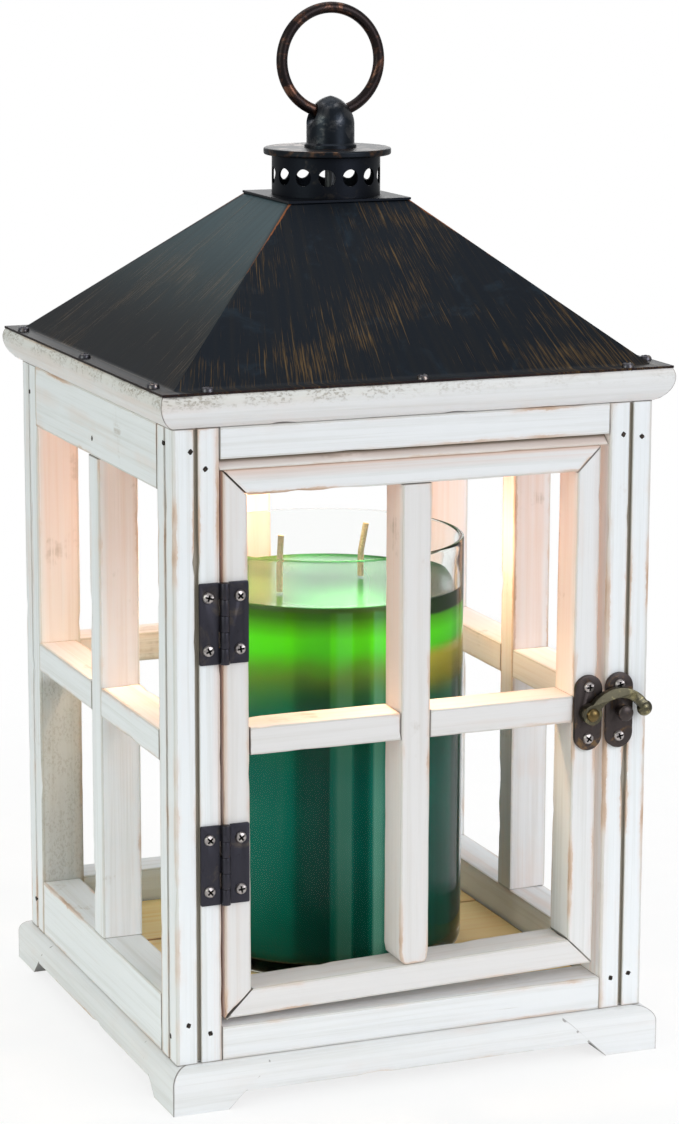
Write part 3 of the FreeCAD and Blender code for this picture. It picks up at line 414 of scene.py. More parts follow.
# the inner tone is painted lamplight inside the lantern, the peach tone is painted lamplight and shade at the
# door gaps, and the groove tone is the bare kerf and painted shade; the boards' tones below work the same way
washed = {
    "milk": "f0f3f6", "thinMilk": "dddfde", "blush": "ead3c6", "tan": "d3b399", "bare": "a98365",
    "line": "bdb9ad", "inner": "f2d3c3", "crack": "54443a", "kerfAndShadeTone": "958b78", "saw": "a99f90",
    "rough": "d3cfc0", "smear": "a3937f", "worked": "d6ccc6", "peach": "d4a68c", "wornReach": 0.8,
    "breakup": 2.4,
}
boards = {
    "milk": "ffe4a6", "thinMilk": "f8d086", "blush": "f2c188", "tan": "c4905c", "bare": "8f6038",
    "line": "a07d52", "inner": "ecc486", "crack": "4b382b", "kerfAndShadeTone": "6f5a48", "saw": "a98560",
    "rough": "c9ae84", "smear": "8f775a", "worked": "c9b48f", "peach": "b98f68", "wornReach": 0.8,
    "breakup": 2.0,
}
# painted glow: the emission tint and strength for lamplight at the door gaps
lampLeak = {"tint": "dcd8ca", "strength": 0.36}
# scales of the fibres, of the brush's bristles and of the checks, along the stick and across it
fibreScales = ((9.0, 420.0), (16.0, 1300.0), (6.0, 520.0))
# reach and breakup in mm, and scale, of bare wood and of the hairline at an edge
bareEdge, hairEdge, wornScale = (0.45, 1.6, 320.0), (0.40, 0.5, 240.0), 150.0


def wornAway(desk, vector, distance, reach, breakup, scale):
    return desk.group(wornEdge, {"Vector": vector, "Distance": distance, "Reach": reach, "Breakup": breakup,
                                 "Scale": scale})


def makeWoodMaterial(name, tones):
    material, desk, surface, out = newMaterial(name)
    grain = desk.named("grain", "Vector")
    edge, endGap, groove, thinness = map(desk.named, ("edge", "endGap", "groove", "thinness"))
    inner, sawn, worked, hinged, leak = map(desk.named, ("inner", "sawn", "worked", "hinged", "leak"))
    lines, bristle, checks = (desk.group(grainLines, {"Vector": grain, "Along": along, "Across": across})
                              for along, across in fibreScales)
    worn = wornAway(desk, grain, edge, tones["wornReach"], tones["breakup"], wornScale)
    bare, hair = wornAway(desk, grain, edge, *bareEdge), wornAway(desk, grain, edge, *hairEdge)
    handled = desk.speckle(grain, 24.0, 3.0, 0.55)
    # where the wash was wiped thin the wood warms it
    wiped = desk.plus(desk.plus(lines["Broad"], desk.sway(lines["Patch"], 0.5)), desk.times(thinness, 0.10))
    smear = desk.plus(desk.speckle(grain, 30.0, 5.0, 0.65), desk.times(inner, 0.06))
    # rough saw marks, also laid over the painted shade at the back left post's foot
    ripped = desk.put("VectorMath", {0: grain, 1: (0.6, 1.0, 1.0)}, operation="MULTIPLY").outputs[0]
    burr = desk.times(sawn, desk.rise(desk.speckle(ripped, 1300.0, 3.0, 0.6), 0.50, 0.62))
    burr = desk.times(burr, desk.rise(desk.speckle(grain, 130.0, 3.0), 0.34, 0.54))
    # thin dark checks that follow the fibre
    split = desk.times(desk.rise(checks["Fine"], 0.735, 0.765), desk.rise(checks["Patch"], 0.50, 0.62))
    joint = desk.plus(endGap, desk.sway(bristle["Patch"], 0.9))
    tone = desk.coats(colour(tones["milk"]), tones, (
        ("thinMilk", desk.rise(lines["Fine"], 0.44, 0.72, 0.65), None),
        ("thinMilk", desk.rise(bristle["Fine"], 0.56, 0.72, 0.30), None),
        ("blush", desk.rise(wiped, 0.60, 0.86, 0.42), None),
        ("worked", worked, 0.45),
        # painted lamplight: peach on the faces inside the lantern
        ("inner", inner, desk.between(lines["Fine"], 0.25, 0.75)),
        ("smear", desk.rise(smear, 0.64, 0.74), desk.rise(bristle["Fine"], 0.35, 0.6, 0.5)),
        # painted warm lamplight and painted shade at the door gaps
        ("peach", hinged, desk.rise(bristle["Broad"], 0.30, 0.62, 0.85)),
        # the edges, from the soft border of the wear to bare wood
        ("line", hair["Mask"], 0.42),
        ("blush", worn["Soft"], desk.rise(handled, 0.42, 0.64, 0.34)),
        ("tan", worn["Mask"], desk.rise(handled, 0.50, 0.66, 0.70)),
        ("bare", bare["Mask"], desk.rise(handled, 0.56, 0.70, 0.52)),
        # the rough tone is saw marks, and painted shade at the back left post's foot
        ("rough", sawn, 0.30), ("saw", burr, 0.62), ("bare", split, 0.55),
        # saw kerfs with their bare wood, painted shade under the rail over the door and at the back left
        # post's foot, and the joints between the sticks
        ("kerfAndShadeTone", desk.rise(groove, 0.25, 0.9, 0.85), None),
        ("crack", desk.rise(joint, 0.40, 0.14, 0.55), None)))
    # painted glow: emission stands in for the lamplight that creeps out beside the shut door
    desk.feed(surface, {
        "Base Color": tone, "Roughness": desk.between(lines["Fine"], 0.62, 0.82), "Specular IOR Level": 0.28,
        "Emission Color": desk.mixed(leak, black, colour(lampLeak["tint"])),
        "Emission Strength": lampLeak["strength"]})
    relief = desk.plus(lines["Fine"], desk.times(bristle["Fine"], 0.55))
    for cut, depth in ((worn["Mask"], 0.4), (split, 1.2), (burr, 1.3)):
        relief = desk.less(relief, desk.times(cut, depth))
    desk.bump(surface, relief, 0.00020, 0.8)
    return material


# the sheen tone is a painted sheen on the top of the left slope, and low paints the left slope darker
roofFinish = {"base": "0d151e", "cool": "1c2a35", "haze": "28251f", "stroke": "6f562f", "rub": "9c5f38",
              "leftSheen": "5f7a81", "low": "050b12", "sheenFrom": 0.256, "sheenTo": 0.300}


def makeRoofMaterial():
    material, desk, surface, out = newMaterial("agedRoofMetal")
    slope, rim, hip = desk.named("slope", "Vector"), desk.named("rimGap"), desk.named("hipGap")
    place = desk.objectPlace()
    brush = desk.group(brushLines, {"Vector": slope, "Along": 30.0, "Across": 1150.0, "Cover": 0.52})
    light = desk.group(brushLines, {"Vector": slope, "Along": 62.0, "Across": 2100.0, "Cover": 0.52})
    rubbed = desk.group(rubbedMetal, {"Vector": place, "Scale": 60.0, "Cover": 0.40})
    worn = wornAway(desk, place, hip, 0.9, 1.9, 190.0)
    wornRim = wornAway(desk, place, rim, 0.5, 1.6, 210.0)
    # the left slope is painted darker, and a painted teal sheen lightens it towards its top
    parts = desk.put("SeparateXYZ", {0: place}).outputs
    leftSlope = desk.rise(desk.plus(parts["X"], desk.sums("ABSOLUTE", parts["Y"])), 0.0, -0.004)
    sheenMask = desk.times(leftSlope, desk.rise(parts["Z"], roofFinish["sheenFrom"], roofFinish["sheenTo"]))
    tone = desk.coats(colour(roofFinish["base"]), roofFinish, (
        ("cool", rubbed["Rub"], 0.6), ("low", leftSlope, 0.62), ("leftSheen", sheenMask, 0.60),
        ("haze", brush["Haze"], 0.25), ("stroke", brush["Strokes"], 0.44), ("stroke", light["Strokes"], 0.34),
        ("rub", worn["Mask"], 0.7), ("rub", wornRim["Mask"], 0.05)))
    rough = desk.less(0.50, desk.times(brush["Strokes"], 0.12))
    desk.feed(surface, {"Base Color": tone, "Roughness": rough, "Metallic": 0.85})
    desk.bump(surface, desk.plus(brush["Strokes"], desk.times(rubbed["Height"], 0.8)), 0.00008, 0.6)
    return material


metalFinishes = {
    # base and worn colours, metallic, roughness, scale of the wear, share of wear, bump in metres
    "agedSteel": ("141820", "33302f", 0.85, 0.38, 90.0, 0.36, 0.00005),
    "capSteel": ("1d2127", "5e4636", 0.88, 0.34, 100.0, 0.52, 0.00005),
    "domeSteel": ("23282f", "4a4b4e", 0.90, 0.28, 120.0, 0.50, 0.00006),
    "ringBronze": ("2b2424", "6a4a3c", 0.90, 0.30, 130.0, 0.50, 0.00006),
    "hingeGunmetal": ("3b3a42", "5a524c", 0.88, 0.34, 60.0, 0.40, 0.00005),
    "oldBrass": ("4a4342", "7d6449", 0.92, 0.32, 150.0, 0.42, 0.00007),
    "hookBrass": ("5a5647", "9a916c", 0.95, 0.28, 170.0, 0.42, 0.00005),
    "rivetBrass": ("6e5d3c", "c9a45c", 0.95, 0.28, 190.0, 0.50, 0.00005),
    "screwSteel": ("b3acaa", "8a827e", 0.90, 0.26, 420.0, 0.40, 0.00003),
    "darkScrew": ("55545a", "8d8078", 0.90, 0.26, 420.0, 0.45, 0.00004),
    "bracketSteel": ("6d6f72", "8f9194", 0.90, 0.38, 90.0, 0.50, 0.00004),
    "nailIron": ("2b2522", "57493f", 0.60, 0.60, 900.0, 0.50, 0.00005),
}


# the slot tone is painted shade down in the screw slots
metalDark = {"pits": "100e0d", "recess": "0b0a0a"}


def makeMetal(name):
    base, wear, metallic, rough, scale, cover, depth = metalFinishes[name]
    material, desk, surface, out = newMaterial(name)
    rubbed = desk.group(rubbedMetal, {"Vector": desk.objectPlace(), "Scale": scale, "Cover": cover})
    # painted shade: black down in the slots of the screws
    tone = desk.coats(colour(base), {"wear": wear, **metalDark}, (
        ("wear", rubbed["Rub"], None), ("pits", rubbed["Pits"], 0.3), ("recess", desk.named("recess"), None)))
    desk.feed(surface, {"Base Color": tone, "Metallic": metallic,
                        "Roughness": desk.between(rubbed["Rub"], rough + 0.08, rough - 0.04)})
    desk.bump(surface, rubbed["Height"], depth, 0.7)
    return material


plainFinishes = {
    # two tones, scale of their patches, how soft these are, roughness, scale and depth of the relief
    "glazedCeramic": ("ece8df", "d9d3c6", 240.0, 0.70, 0.35, 500.0, 0.00004),
    "reflectorBulbGlass": ("dcdad5", "c5c2bc", 420.0, 0.65, 0.22, 420.0, 0.0001),
    "inletRubber": ("1a1a1b", "2b2a2a", 900.0, 0.70, 0.62, 900.0, 0.00005),
}
bulbLight = {"tint": "ffdca8", "strength": 2.0, "from": 0.2158, "full": 0.2133}


def makePlain(name):
    base, other, patches, soft, rough, relief, depth = plainFinishes[name]
    material, desk, surface, out = newMaterial(name)
    place = desk.objectPlace()
    tone = desk.paint(colour(base), other, desk.rise(desk.speckle(place, patches), 0.4, soft))
    desk.feed(surface, {"Base Color": tone, "Roughness": rough})
    if name == "reflectorBulbGlass":
        # its lower face shines
        height = desk.put("SeparateXYZ", {0: place}).outputs["Z"]
        lit = desk.rise(height, bulbLight["from"], bulbLight["full"])
        desk.feed(surface, {"Emission Color": desk.paint(black, bulbLight["tint"], lit),
                            "Emission Strength": bulbLight["strength"]})
    desk.bump(surface, desk.speckle(place, relief), depth)
    return material


glass = {"tint": (0.962, 0.972, 0.962, 1.0), "shadow": (0.97, 0.985, 0.975, 1.0), "ior": 1.25,
         "shine": (0.25, 0.25, 0.25, 1.0)}


def makeGlass():
    material, desk, surface, out = newMaterial("clearJarGlass")
    place = desk.objectPlace()
    desk.feed(surface, {
        "Roughness": desk.between(desk.speckle(place, 40.0), 0.0, 0.02), "Base Color": glass["tint"],
        "Transmission Weight": 1.0, "IOR": glass["ior"], "Specular Tint": glass["shine"]})
    desk.bump(surface, desk.speckle(place, 18.0, 2.0), 0.0003, 0.2)
    path = desk.put("LightPath").outputs
    clear = desk.put("BsdfTransparent", {"Color": glass["shadow"]})
    desk.feed(out, {"Surface": desk.blend(path["Is Shadow Ray"], surface, clear).outputs[0]})
    return material


waxLayers = [
    # height above the ground in mm, colour there: the wax's own green, with painted lamplight in the bright
    # green melt, a painted reflection of the lit wood in the olive band and painted shade just under the
    # surface
    (29.0, "043f31"), (46.0, "055242"), (72.0, "065c4d"), (100.0, "086454"), (124.0, "1c6646"),
    (130.0, "386f38"), (136.0, "557a2a"), (141.0, "4a8a1c"), (146.0, "40ac0e"), (150.5, "44b20c"),
    (154.8, "3c860a"), (158.0, "2c5a08"), (162.1, "284408"),
]
# the light tone is a painted pool of lamplight on the melted top; the shade and dim tones are painted shade
waxTop = {"light": "2f7047", "left": "465a2a", "shade": "2f6a44", "rightShade": "06230f"}
# on the side: olive, dark and pale are painted reflections, belt is painted shade under the surface, glow is
# a painted emission
waxSide = {"olive": "948d2e", "dark": "011a14", "pale": "7fb49c", "belt": "36521e", "beltRight": "1a2c12",
           "beltTop": 0.1610, "beltDrop": -0.0045, "beltSoft": 0.0014, "glow": 0.55}
# painted reflections of the lamps and lit wood, as upright light and dark streaks on the wax: place across
# the jar from -1 to 1, lightness there
waxReflections = [
    (-1.0, 0.45), (-0.80, 0.62), (-0.70, 0.50), (-0.50, 0.54), (-0.44, 0.50), (-0.36, 0.48), (-0.30, 0.55),
    (-0.255, 0.50), (-0.215, 0.32), (-0.19, 0.18), (-0.14, 0.12), (0.03, 0.06), (0.05, 0.46), (0.10, 0.72),
    (0.19, 0.70), (0.21, 0.24), (0.30, 0.16), (0.325, 0.40), (0.35, 0.86), (0.40, 0.78), (0.45, 0.45),
    (0.79, 0.17), (0.872, 0.28), (0.893, 0.0), (0.918, 0.0), (1.0, 0.70),
]
jarAcross = (0.9272, -0.3744, 0.0)


def makeWax():
    material, desk, surface, out = newMaterial("greenCandleWax")
    place = desk.objectPlace()
    crown = desk.named("crown")
    parts = desk.put("SeparateXYZ", {0: place}).outputs
    height = parts["Z"]
    cloud = desk.speckle(place, 22.0, 3.0, 0.5, 0.4)
    across = desk.put("VectorMath", {0: place, 1: jarAcross}, operation="DOT_PRODUCT").outputs["Value"]
    across = desk.sums("DIVIDE", across, jar["radius"] * mm)
    right = desk.rise(across, 0.35, 0.80)
    wavy = desk.plus(height, desk.sway(cloud, desk.rise(height, 0.158, 0.140, 0.016)))
    low, high = waxLayers[0][0], waxLayers[-1][0]
    stops = [((at - low) / (high - low), colour(code)) for at, code in waxLayers]
    layers = desk.ramp(desk.part(wavy, low * mm, high * mm), stops)
    band = desk.times(desk.rise(wavy, 0.126, 0.134), desk.rise(wavy, 0.146, 0.140))
    stops = [((at + 1) / 2, (light, light, light, 1.0)) for at, light in waxReflections]
    streaks = desk.ramp(desk.part(across, -1.0), stops)
    light = desk.plus(desk.put("SeparateColor", {0: streaks}).outputs[0], desk.sway(cloud, 0.25))
    held = desk.plus(0.35, desk.rise(height, 0.142, 0.126, 0.65))
    # painted reflections: an olive band of the lit wood on the right, and the dark and pale streaks
    side = desk.coats(layers, waxSide, (
        ("olive", band, right), ("dark", desk.rise(light, 0.5, 0.0, 0.72), held),
        ("pale", desk.rise(light, 0.5, 1.0, 0.42), held)))
    # painted shade: a dark line under the surface, broad where the jar turns away on the right
    belt = desk.plus(waxSide["beltTop"], desk.times(right, waxSide["beltDrop"]))
    under = desk.rise(height, desk.less(belt, waxSide["beltSoft"]), belt)
    side = desk.mixed(under, side, desk.paint(colour(waxSide["belt"]), waxSide["beltRight"], right))
    # the melted top: a painted pool of lamplight, with painted shade towards the back and the right, and
    # olive towards the left
    back = desk.plus(parts["Y"], desk.sway(cloud, 0.03))
    top = desk.coats(colour(waxTop["light"]), waxTop, (
        ("shade", desk.rise(back, 0.012, 0.044), None), ("left", desk.rise(across, -0.14, -0.42, 0.8), None),
        ("rightShade", desk.rise(across, 0.20, 0.66), None)))
    # painted glow: the melted part is given emission, as if lit from within by the lamp
    warm = desk.times(desk.rise(wavy, 0.132, 0.148), desk.less(1.0, crown))
    warm = desk.times(warm, desk.less(1.0, under))
    desk.feed(surface, {
        "Base Color": desk.mixed(crown, side, top), "Roughness": 0.22, "Specular IOR Level": 0.12,
        "Emission Color": desk.mixed(warm, black, side), "Emission Strength": waxSide["glow"]})
    desk.bump(surface, cloud, 0.0003, 0.15)
    return material


def makeWick():
    material, desk, surface, out = newMaterial("cottonWick")
    fibre = desk.group(grainLines, {"Vector": desk.objectPlace(), "Along": 2600.0, "Across": 1500.0})
    tone = desk.paint(colour("cbbfa2"), "ab9d7e", desk.rise(fibre["Fine"], 0.4, 0.65))
    desk.feed(surface, {"Base Color": tone, "Roughness": 0.85})
    desk.bump(surface, fibre["Fine"], 0.0002)
    return material


whitewash = makeWoodMaterial("whitewashedWood", washed)
floorWood = makeWoodMaterial("bareFloorWood", boards)
roofMetal = makeRoofMaterial()
finish = {name: makeMetal(name) for name in metalFinishes}
print("materials are mixed:", len(bpy.data.materials))


def settle(piece, nodeName):
    # a piece rides with the body of the node that it stands for
    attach(piece, frame["nodes"][nodeName]["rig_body"])
    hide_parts(nodeName)


def standIn(mesh, material, nodeName):
    mesh.materials.clear()
    mesh.materials.append(material)
    settle(linked(mesh.name, mesh), nodeName)


def mergedCopy(nodeName, flat=0.5):
    # a CAD node comes as loose triangles: join them and clear the lines inside its flat faces
    bm = bmesh.new()
    bm.from_mesh(frame["nodes"][nodeName].data)
    bmesh.ops.remove_doubles(bm, verts=bm.verts, dist=2e-6)
    bmesh.ops.dissolve_limit(bm, angle_limit=math.radians(flat), verts=bm.verts, edges=bm.edges)
    return bm


def solidsOf(bm):
    # the vertex numbers of each separate solid, from the lowest number up
    bm.verts.index_update()
    left, groups = set(bm.verts), []
    while left:
        first = min(left, key=lambda v: v.index)
        reached, front = {first}, [first]
        while front:
            for edge in front.pop().link_edges:
                for other in edge.verts:
                    if other not in reached:
                        reached.add(other)
                        front.append(other)
        left -= reached
        groups.append(sorted(v.index for v in reached))
    return groups


def oneSolid(bm, members):
    part = bm.copy()
    keep = set(members)
    bmesh.ops.delete(part, geom=[v for v in part.verts if v.index not in keep], context="VERTS")
    return part


def sliced(bm, spot, normal):
    everything = bm.verts[:] + bm.edges[:] + bm.faces[:]
    bmesh.ops.bisect_plane(bm, geom=everything, plane_co=spot, plane_no=normal, dist=1e-7)


def slicedEvery(bm, axis, low, high, step):
    count = max(1, round((high - low) / step))
    for i in range(1, count):
        spot, normal = Vector((0, 0, 0)), Vector((0, 0, 0))
        spot[axis], normal[axis] = low + (high - low) * i / count, 1.0
        sliced(bm, spot, normal)


def climb(values, start, end):
    # 0 up to start, 1 from end on, straight between
    return np.clip((values - start) / (end - start), 0, 1)


bodyHalf = (88.5, 86.0)
timber = {
    "alongStep": 4.5 * mm, "acrossStep": 3.6 * mm, "insets": (0.45 * mm, 1.3 * mm),
    "largeFaces": 9, "faceArea": 1e-4, "endArea": 1e-5, "sameWay": 0.02, "samePlace": 0.1 * mm,
    "roundEdge": 4.0, "cutEdge": 24.0, "farOff": 0.1, "deepest": 0.01,
    "wearDepth": 0.17 * mm, "wearReach": 0.75 * mm, "wearGrain": 130, "wearEven": 0.75, "wearVary": 0.5,
    "chipDepth": 0.60 * mm, "chipReach": 2.0 * mm, "chipFrom": 0.43, "chipRise": 4, "chipGrain": 95,
    "chipShift": (3, 1, 7),
    "waver": 0.14 * mm, "waverFrom": 2.0 * mm, "waverGrain": 28, "sharp": 52, "seed": 41,
}
# a muntin foot that is rounded off where it laps the rail, and the strip that leans forward over the door
shaped = {
    "footRound": 3.2 * mm, "stripBelow": 226 * mm, "stripSkin": 2 * mm, "stripLean": 4.2 * mm,
    "stripOut": 0.6 * mm, "stripDrop": 0.45 * mm,
}
# edges that the wear spares: above this height on the door's top rail, this near the ends of the mouldings
spared = {"doorTop": 219.5 * mm, "doorBy": 2 * mm, "endReach": 14 * mm, "endBy": 1.1 * mm}
# places where a mitre or an end stands open: a point on its plane, the way out of the stick, how far it opens
cracks = {
    "door_top_rail": [((-70.95, 221.3), (-0.707, -0.707), 0.55)],
    "door_bottom_rail": [((-70.95, 30.3), (-0.707, 0.707), 0.65)],
    "door_bars": [((-61.6, 127.8), (-1.0, 0.0), 0.45)],
}
crackSkin = 0.25 * mm
# how much a tool has dulled the wash, by the first word of a node or by the node
worked = {"door": 1.0, "plinth": 0.40, "cornice": 0.55, "front": 0.25, "door_top_rail": 0.35,
          "door_latch_stile": 0.6}


def outerEdges(bm, least):
    # the outer edges that turn by more than least degrees
    return [edge for edge in bm.edges if len(edge.link_faces) == 2 and edge.is_convex
            and edge.calc_face_angle(0.0) > math.radians(least)]


def distanceToLines(points, lines):
    best = np.full(len(points), 1.0)
    for start, end in lines:
        along = end - start
        share = np.clip((points - start) @ along / max(along @ along, 1e-12), 0, 1)
        best = np.minimum(best, np.linalg.norm(points - start - share[:, None] * along, axis=1))
    return best


def rowOfMarks(nodeName, points):
    # shares from 0 to 1 that the paint reads; places are in mm
    x, y, z = (points / mm).T
    kind = nodeName.split("_")[0]
    depth = np.minimum(bodyHalf[0] - np.abs(x), bodyHalf[1] - np.abs(y))
    none = np.zeros(len(x))
    marks = {
        # painted lamplight: faces inside the lantern, most towards the top
        "inner": climb(depth, 0.6, 3.6) * (0.14 + 0.86 * climb(z, 95, 155)),
        "worked": none + worked.get(nodeName, worked.get(kind, 0.0)),
        "sawn": none, "hinged": none, "leak": none,
    }
    if kind == "cornice":
        fade = 1.0 if nodeName == "cornice_left" else np.clip((55 - x) / 90, 0.25, 1)
        marks["sawn"] = climb(z, 242.5, 245.5) * fade
    if nodeName == "post_back_left":
        # where this post looks forward its foot, below the bars, is painted darker: painted shade mixed with
        # rough stains
        marks["sawn"] = (y < 70.5) * (z < 118.0) * 0.45
        marks["groove"] = (y < 70.5) * climb(-z, -121.0, -115.0) * 0.53
    # painted warm lamplight along the gap on the hinge side
    if nodeName in ("post_front_left", "door_hinge_stile"):
        marks["hinged"] = np.exp(-((np.abs(x + 71.4) / 2.2) ** 2)) * (y < -80)
    # painted warm lamplight along the gap on the latch side, weaker
    if nodeName in ("post_front_right", "door_latch_stile"):
        marks["hinged"] = np.exp(-((np.abs(x - 70.4) / 2.6) ** 2)) * (y < -60) * 0.5
    # a painted glow on the post's reveal beside the latch-side gap
    if nodeName == "post_front_right":
        marks["leak"] = (np.abs(x - 71.9) < 0.35) * (y < -69) * np.minimum(climb(y, -86.5, -77.5), 0.7)
    # the strip over the door: painted warm shade over it, painted darker shade under the rail at its top, and
    # a painted glow at its foot
    if nodeName == "front_top_rail":
        strip = (y > -85.8) * (z < 225.3)
        marks["hinged"] = strip * 0.45
        marks["leak"] = strip * climb(-z, -222.6, -221.8) * 0.40
        marks["groove"] = strip * np.minimum(climb(z, 223.0, 224.8), 0.9)
    # painted lamplight on the top of the door's top rail, with a painted glow at its top edge
    if nodeName == "door_top_rail":
        marks["hinged"] = climb(z, 217.2, 221.2) * 0.75
        marks["leak"] = climb(z, 220.6, 221.2) * 0.22
    return marks


def largePlanes(part, long):
    # (normal, point) of each large outer plane, and of each end of the stick
    planes, ends = [], []
    for face in sorted(part.faces, key=lambda f: -f.calc_area()):
        flat = (face.normal.copy(), face.calc_center_median())
        if any((flat[0] - way).length < timber["sameWay"]
               and abs((flat[1] - spot).dot(way)) < timber["samePlace"] for way, spot in planes + ends):
            continue
        if abs(face.normal[long]) > 0.5 and face.calc_area() > timber["endArea"]:
            ends.append(flat)
        elif len(planes) < timber["largeFaces"] and face.calc_area() > timber["faceArea"]:
            planes.append(flat)
    return planes, ends


def wornIn(points, edge, offset):
    # how far each point goes in: rubbed edges, chips out of them, and a slow waver of the faces
    moved = np.zeros(len(points))
    for i, (point, gap) in enumerate(zip(points, edge)):
        lump = Vector(point + offset)
        near = math.exp(-((gap / timber["wearReach"]) ** 2))
        rubbed = timber["wearEven"] + timber["wearVary"] * noise.noise(lump * timber["wearGrain"])
        moved[i] = timber["wearDepth"] * near * rubbed
        bite = noise.noise(lump * timber["chipGrain"] + Vector(timber["chipShift"]))
        if bite > timber["chipFrom"] and gap < timber["chipReach"]:
            share = min(1.0, (bite - timber["chipFrom"]) * timber["chipRise"])
            share *= 1 - gap / timber["chipReach"]
            moved[i] += timber["chipDepth"] * share
        swell = max(0.0, noise.noise(lump * timber["waverGrain"]))
        moved[i] += timber["waver"] * swell * min(1.0, gap / timber["waverFrom"])
    return np.maximum(moved, 0.0)


def openedCracks(nodeName, points):
    beyond = np.zeros_like(points)
    for (x, z), (outX, outZ), gap in cracks.get(nodeName, ()):
        way = np.array([outX, 0.0, outZ])
        off = (points - np.array([x, 0.0, z]) * mm) @ way
        beyond -= way * ((np.abs(off) < crackSkin) * gap * mm)[:, None]
    return beyond


def shapeStick(nodeName, points, low, high):
    if nodeName == "front_top_rail" and high[2] < shaped["stripBelow"]:
        up = (points[:, 2] - low[2]) / (high[2] - low[2])
        front = points[:, 1] < low[1] + shaped["stripSkin"]
        points[:, 1] += front * (up * shaped["stripLean"] - shaped["stripOut"])
        points[:, 2] -= (1 - up) * shaped["stripDrop"]
    if nodeName == "door_muntin":
        half, bend = (high[0] - low[0]) / 2, shaped["footRound"]
        deep = np.clip((low[2] + bend - points[:, 2]) / bend, 0, 0.98)
        shrink = bend * (1 - np.sqrt(1 - deep ** 2)) / half
        points[:, 0] -= (points[:, 0] - low[0] - half) * np.clip(shrink, 0, 0.9)


def workStick(nodeName, part, shuffle, softCorners, grooved):
    corners = np.array([v.co for v in part.verts])
    low, high = corners.min(0), corners.max(0)
    long = int(np.argmax(high - low))
    outer = outerEdges(part, timber["roundEdge"] if softCorners else timber["cutEdge"])
    lines = np.array([[list(vert.co) for vert in edge.verts] for edge in outer])
    planes, ends = largePlanes(part, long)
    for normal, spot in planes + ends:
        for inset in timber["insets"]:
            sliced(part, spot - normal * inset, normal)
    for axis in range(3):
        slicedEvery(part, axis, low[axis], high[axis], timber["alongStep" if axis == long else "acrossStep"])
    part.normal_update()
    part.verts.index_update()
    points = np.array([v.co for v in part.verts])
    normals = np.array([v.normal for v in part.verts])
    faces = [[v.index for v in face.verts] for face in part.faces]
    part.free()

    edge = distanceToLines(points, lines)
    endGap = np.full(len(points), timber["farOff"])
    for normal, spot in ends:
        endGap = np.minimum(endGap, np.abs((points - np.array(spot)) @ np.array(normal)))
    deep = np.minimum(points - low, high - points).min(1)
    groove = np.clip(deep, 0, timber["deepest"]) if grooved else np.zeros(len(points))
    offset = np.array([shuffle.uniform(0, 9) for axis in range(3)])
    grain = points[:, [long] + [axis for axis in range(3) if axis != long]] + offset
    points = points + openedCracks(nodeName, points) - normals * wornIn(points, edge, offset)[:, None]
    shapeStick(nodeName, points, low, high)
    if nodeName == "door_top_rail":
        edge = np.where(points[:, 2] > spared["doorTop"], edge + spared["doorBy"], edge)
    if nodeName.startswith(("cornice", "plinth")):
        edge = np.where(endGap < spared["endReach"], edge + spared["endBy"], edge)
    layers = {"grain": grain, "edge": edge / mm, "endGap": endGap / mm, "groove": groove / mm,
              "thinness": np.full(len(points), shuffle.uniform(0.0, 1.0)), **rowOfMarks(nodeName, points)}
    return points, faces, layers


def makeTimber(nodeName, material, softCorners=True, grooved=False):
    shuffle = random.Random(timber["seed"] + sum(ord(c) * (i + 1) for i, c in enumerate(nodeName)))
    whole = mergedCopy(nodeName)
    points, faces, layers = [], [], {}
    for members in solidsOf(whole):
        first = sum(len(p) for p in points)
        spots, polygons, rows = workStick(nodeName, oneSolid(whole, members), shuffle, softCorners, grooved)
        points.append(spots)
        faces += [[first + i for i in polygon] for polygon in polygons]
        for key, values in rows.items():
            layers.setdefault(key, []).append(values)
    whole.free()
    mesh = meshOf(nodeName + "_timber", np.concatenate(points).tolist(), faces)
    for key, values in layers.items():
        writeRow(mesh, key, np.concatenate(values))
    smoothed(mesh, timber["sharp"])
    standIn(mesh, material, nodeName)
    return len(mesh.polygons)


sides = ("front", "right", "back", "left")
sticks = [f"{side}_{rail}_rail" for side in sides for rail in ("top", "bottom")]
sticks += [f"{side}_{bar}" for side in sides[1:] for bar in ("muntin", "bars")]
sticks += [f"door_{bar}" for bar in ("hinge_stile", "latch_stile", "bottom_rail", "top_rail", "muntin",
                                    "bars")]
posts = ["post_front_left", "post_front_right", "post_back_right", "post_back_left"]
mouldings = [f"{part}_{side}" for part in ("plinth", "cornice") for side in sides]

cut = sum(makeTimber(nodeName, whitewash) for nodeName in sticks)
cut += sum(makeTimber(nodeName, whitewash, grooved=True) for nodeName in posts)
cut += sum(makeTimber(nodeName, whitewash, softCorners=False) for nodeName in mouldings)
cut += makeTimber("floor_boards", floorWood)
print("timber is cut and worn:", cut, "faces")


roofShape = {
    "flat": 0.2, "step": 7 * mm, "dent": 0.25 * mm, "dentGrain": 19, "dentFrom": 2 * mm, "hipKeep": 4,
    "fan": 0.42, "fanFrom": 0.6, "stretch": 1.6, "rim": 248.7 * mm, "topHalf": 22.7 * mm, "far": 30.0,
    "sharp": 22,
}


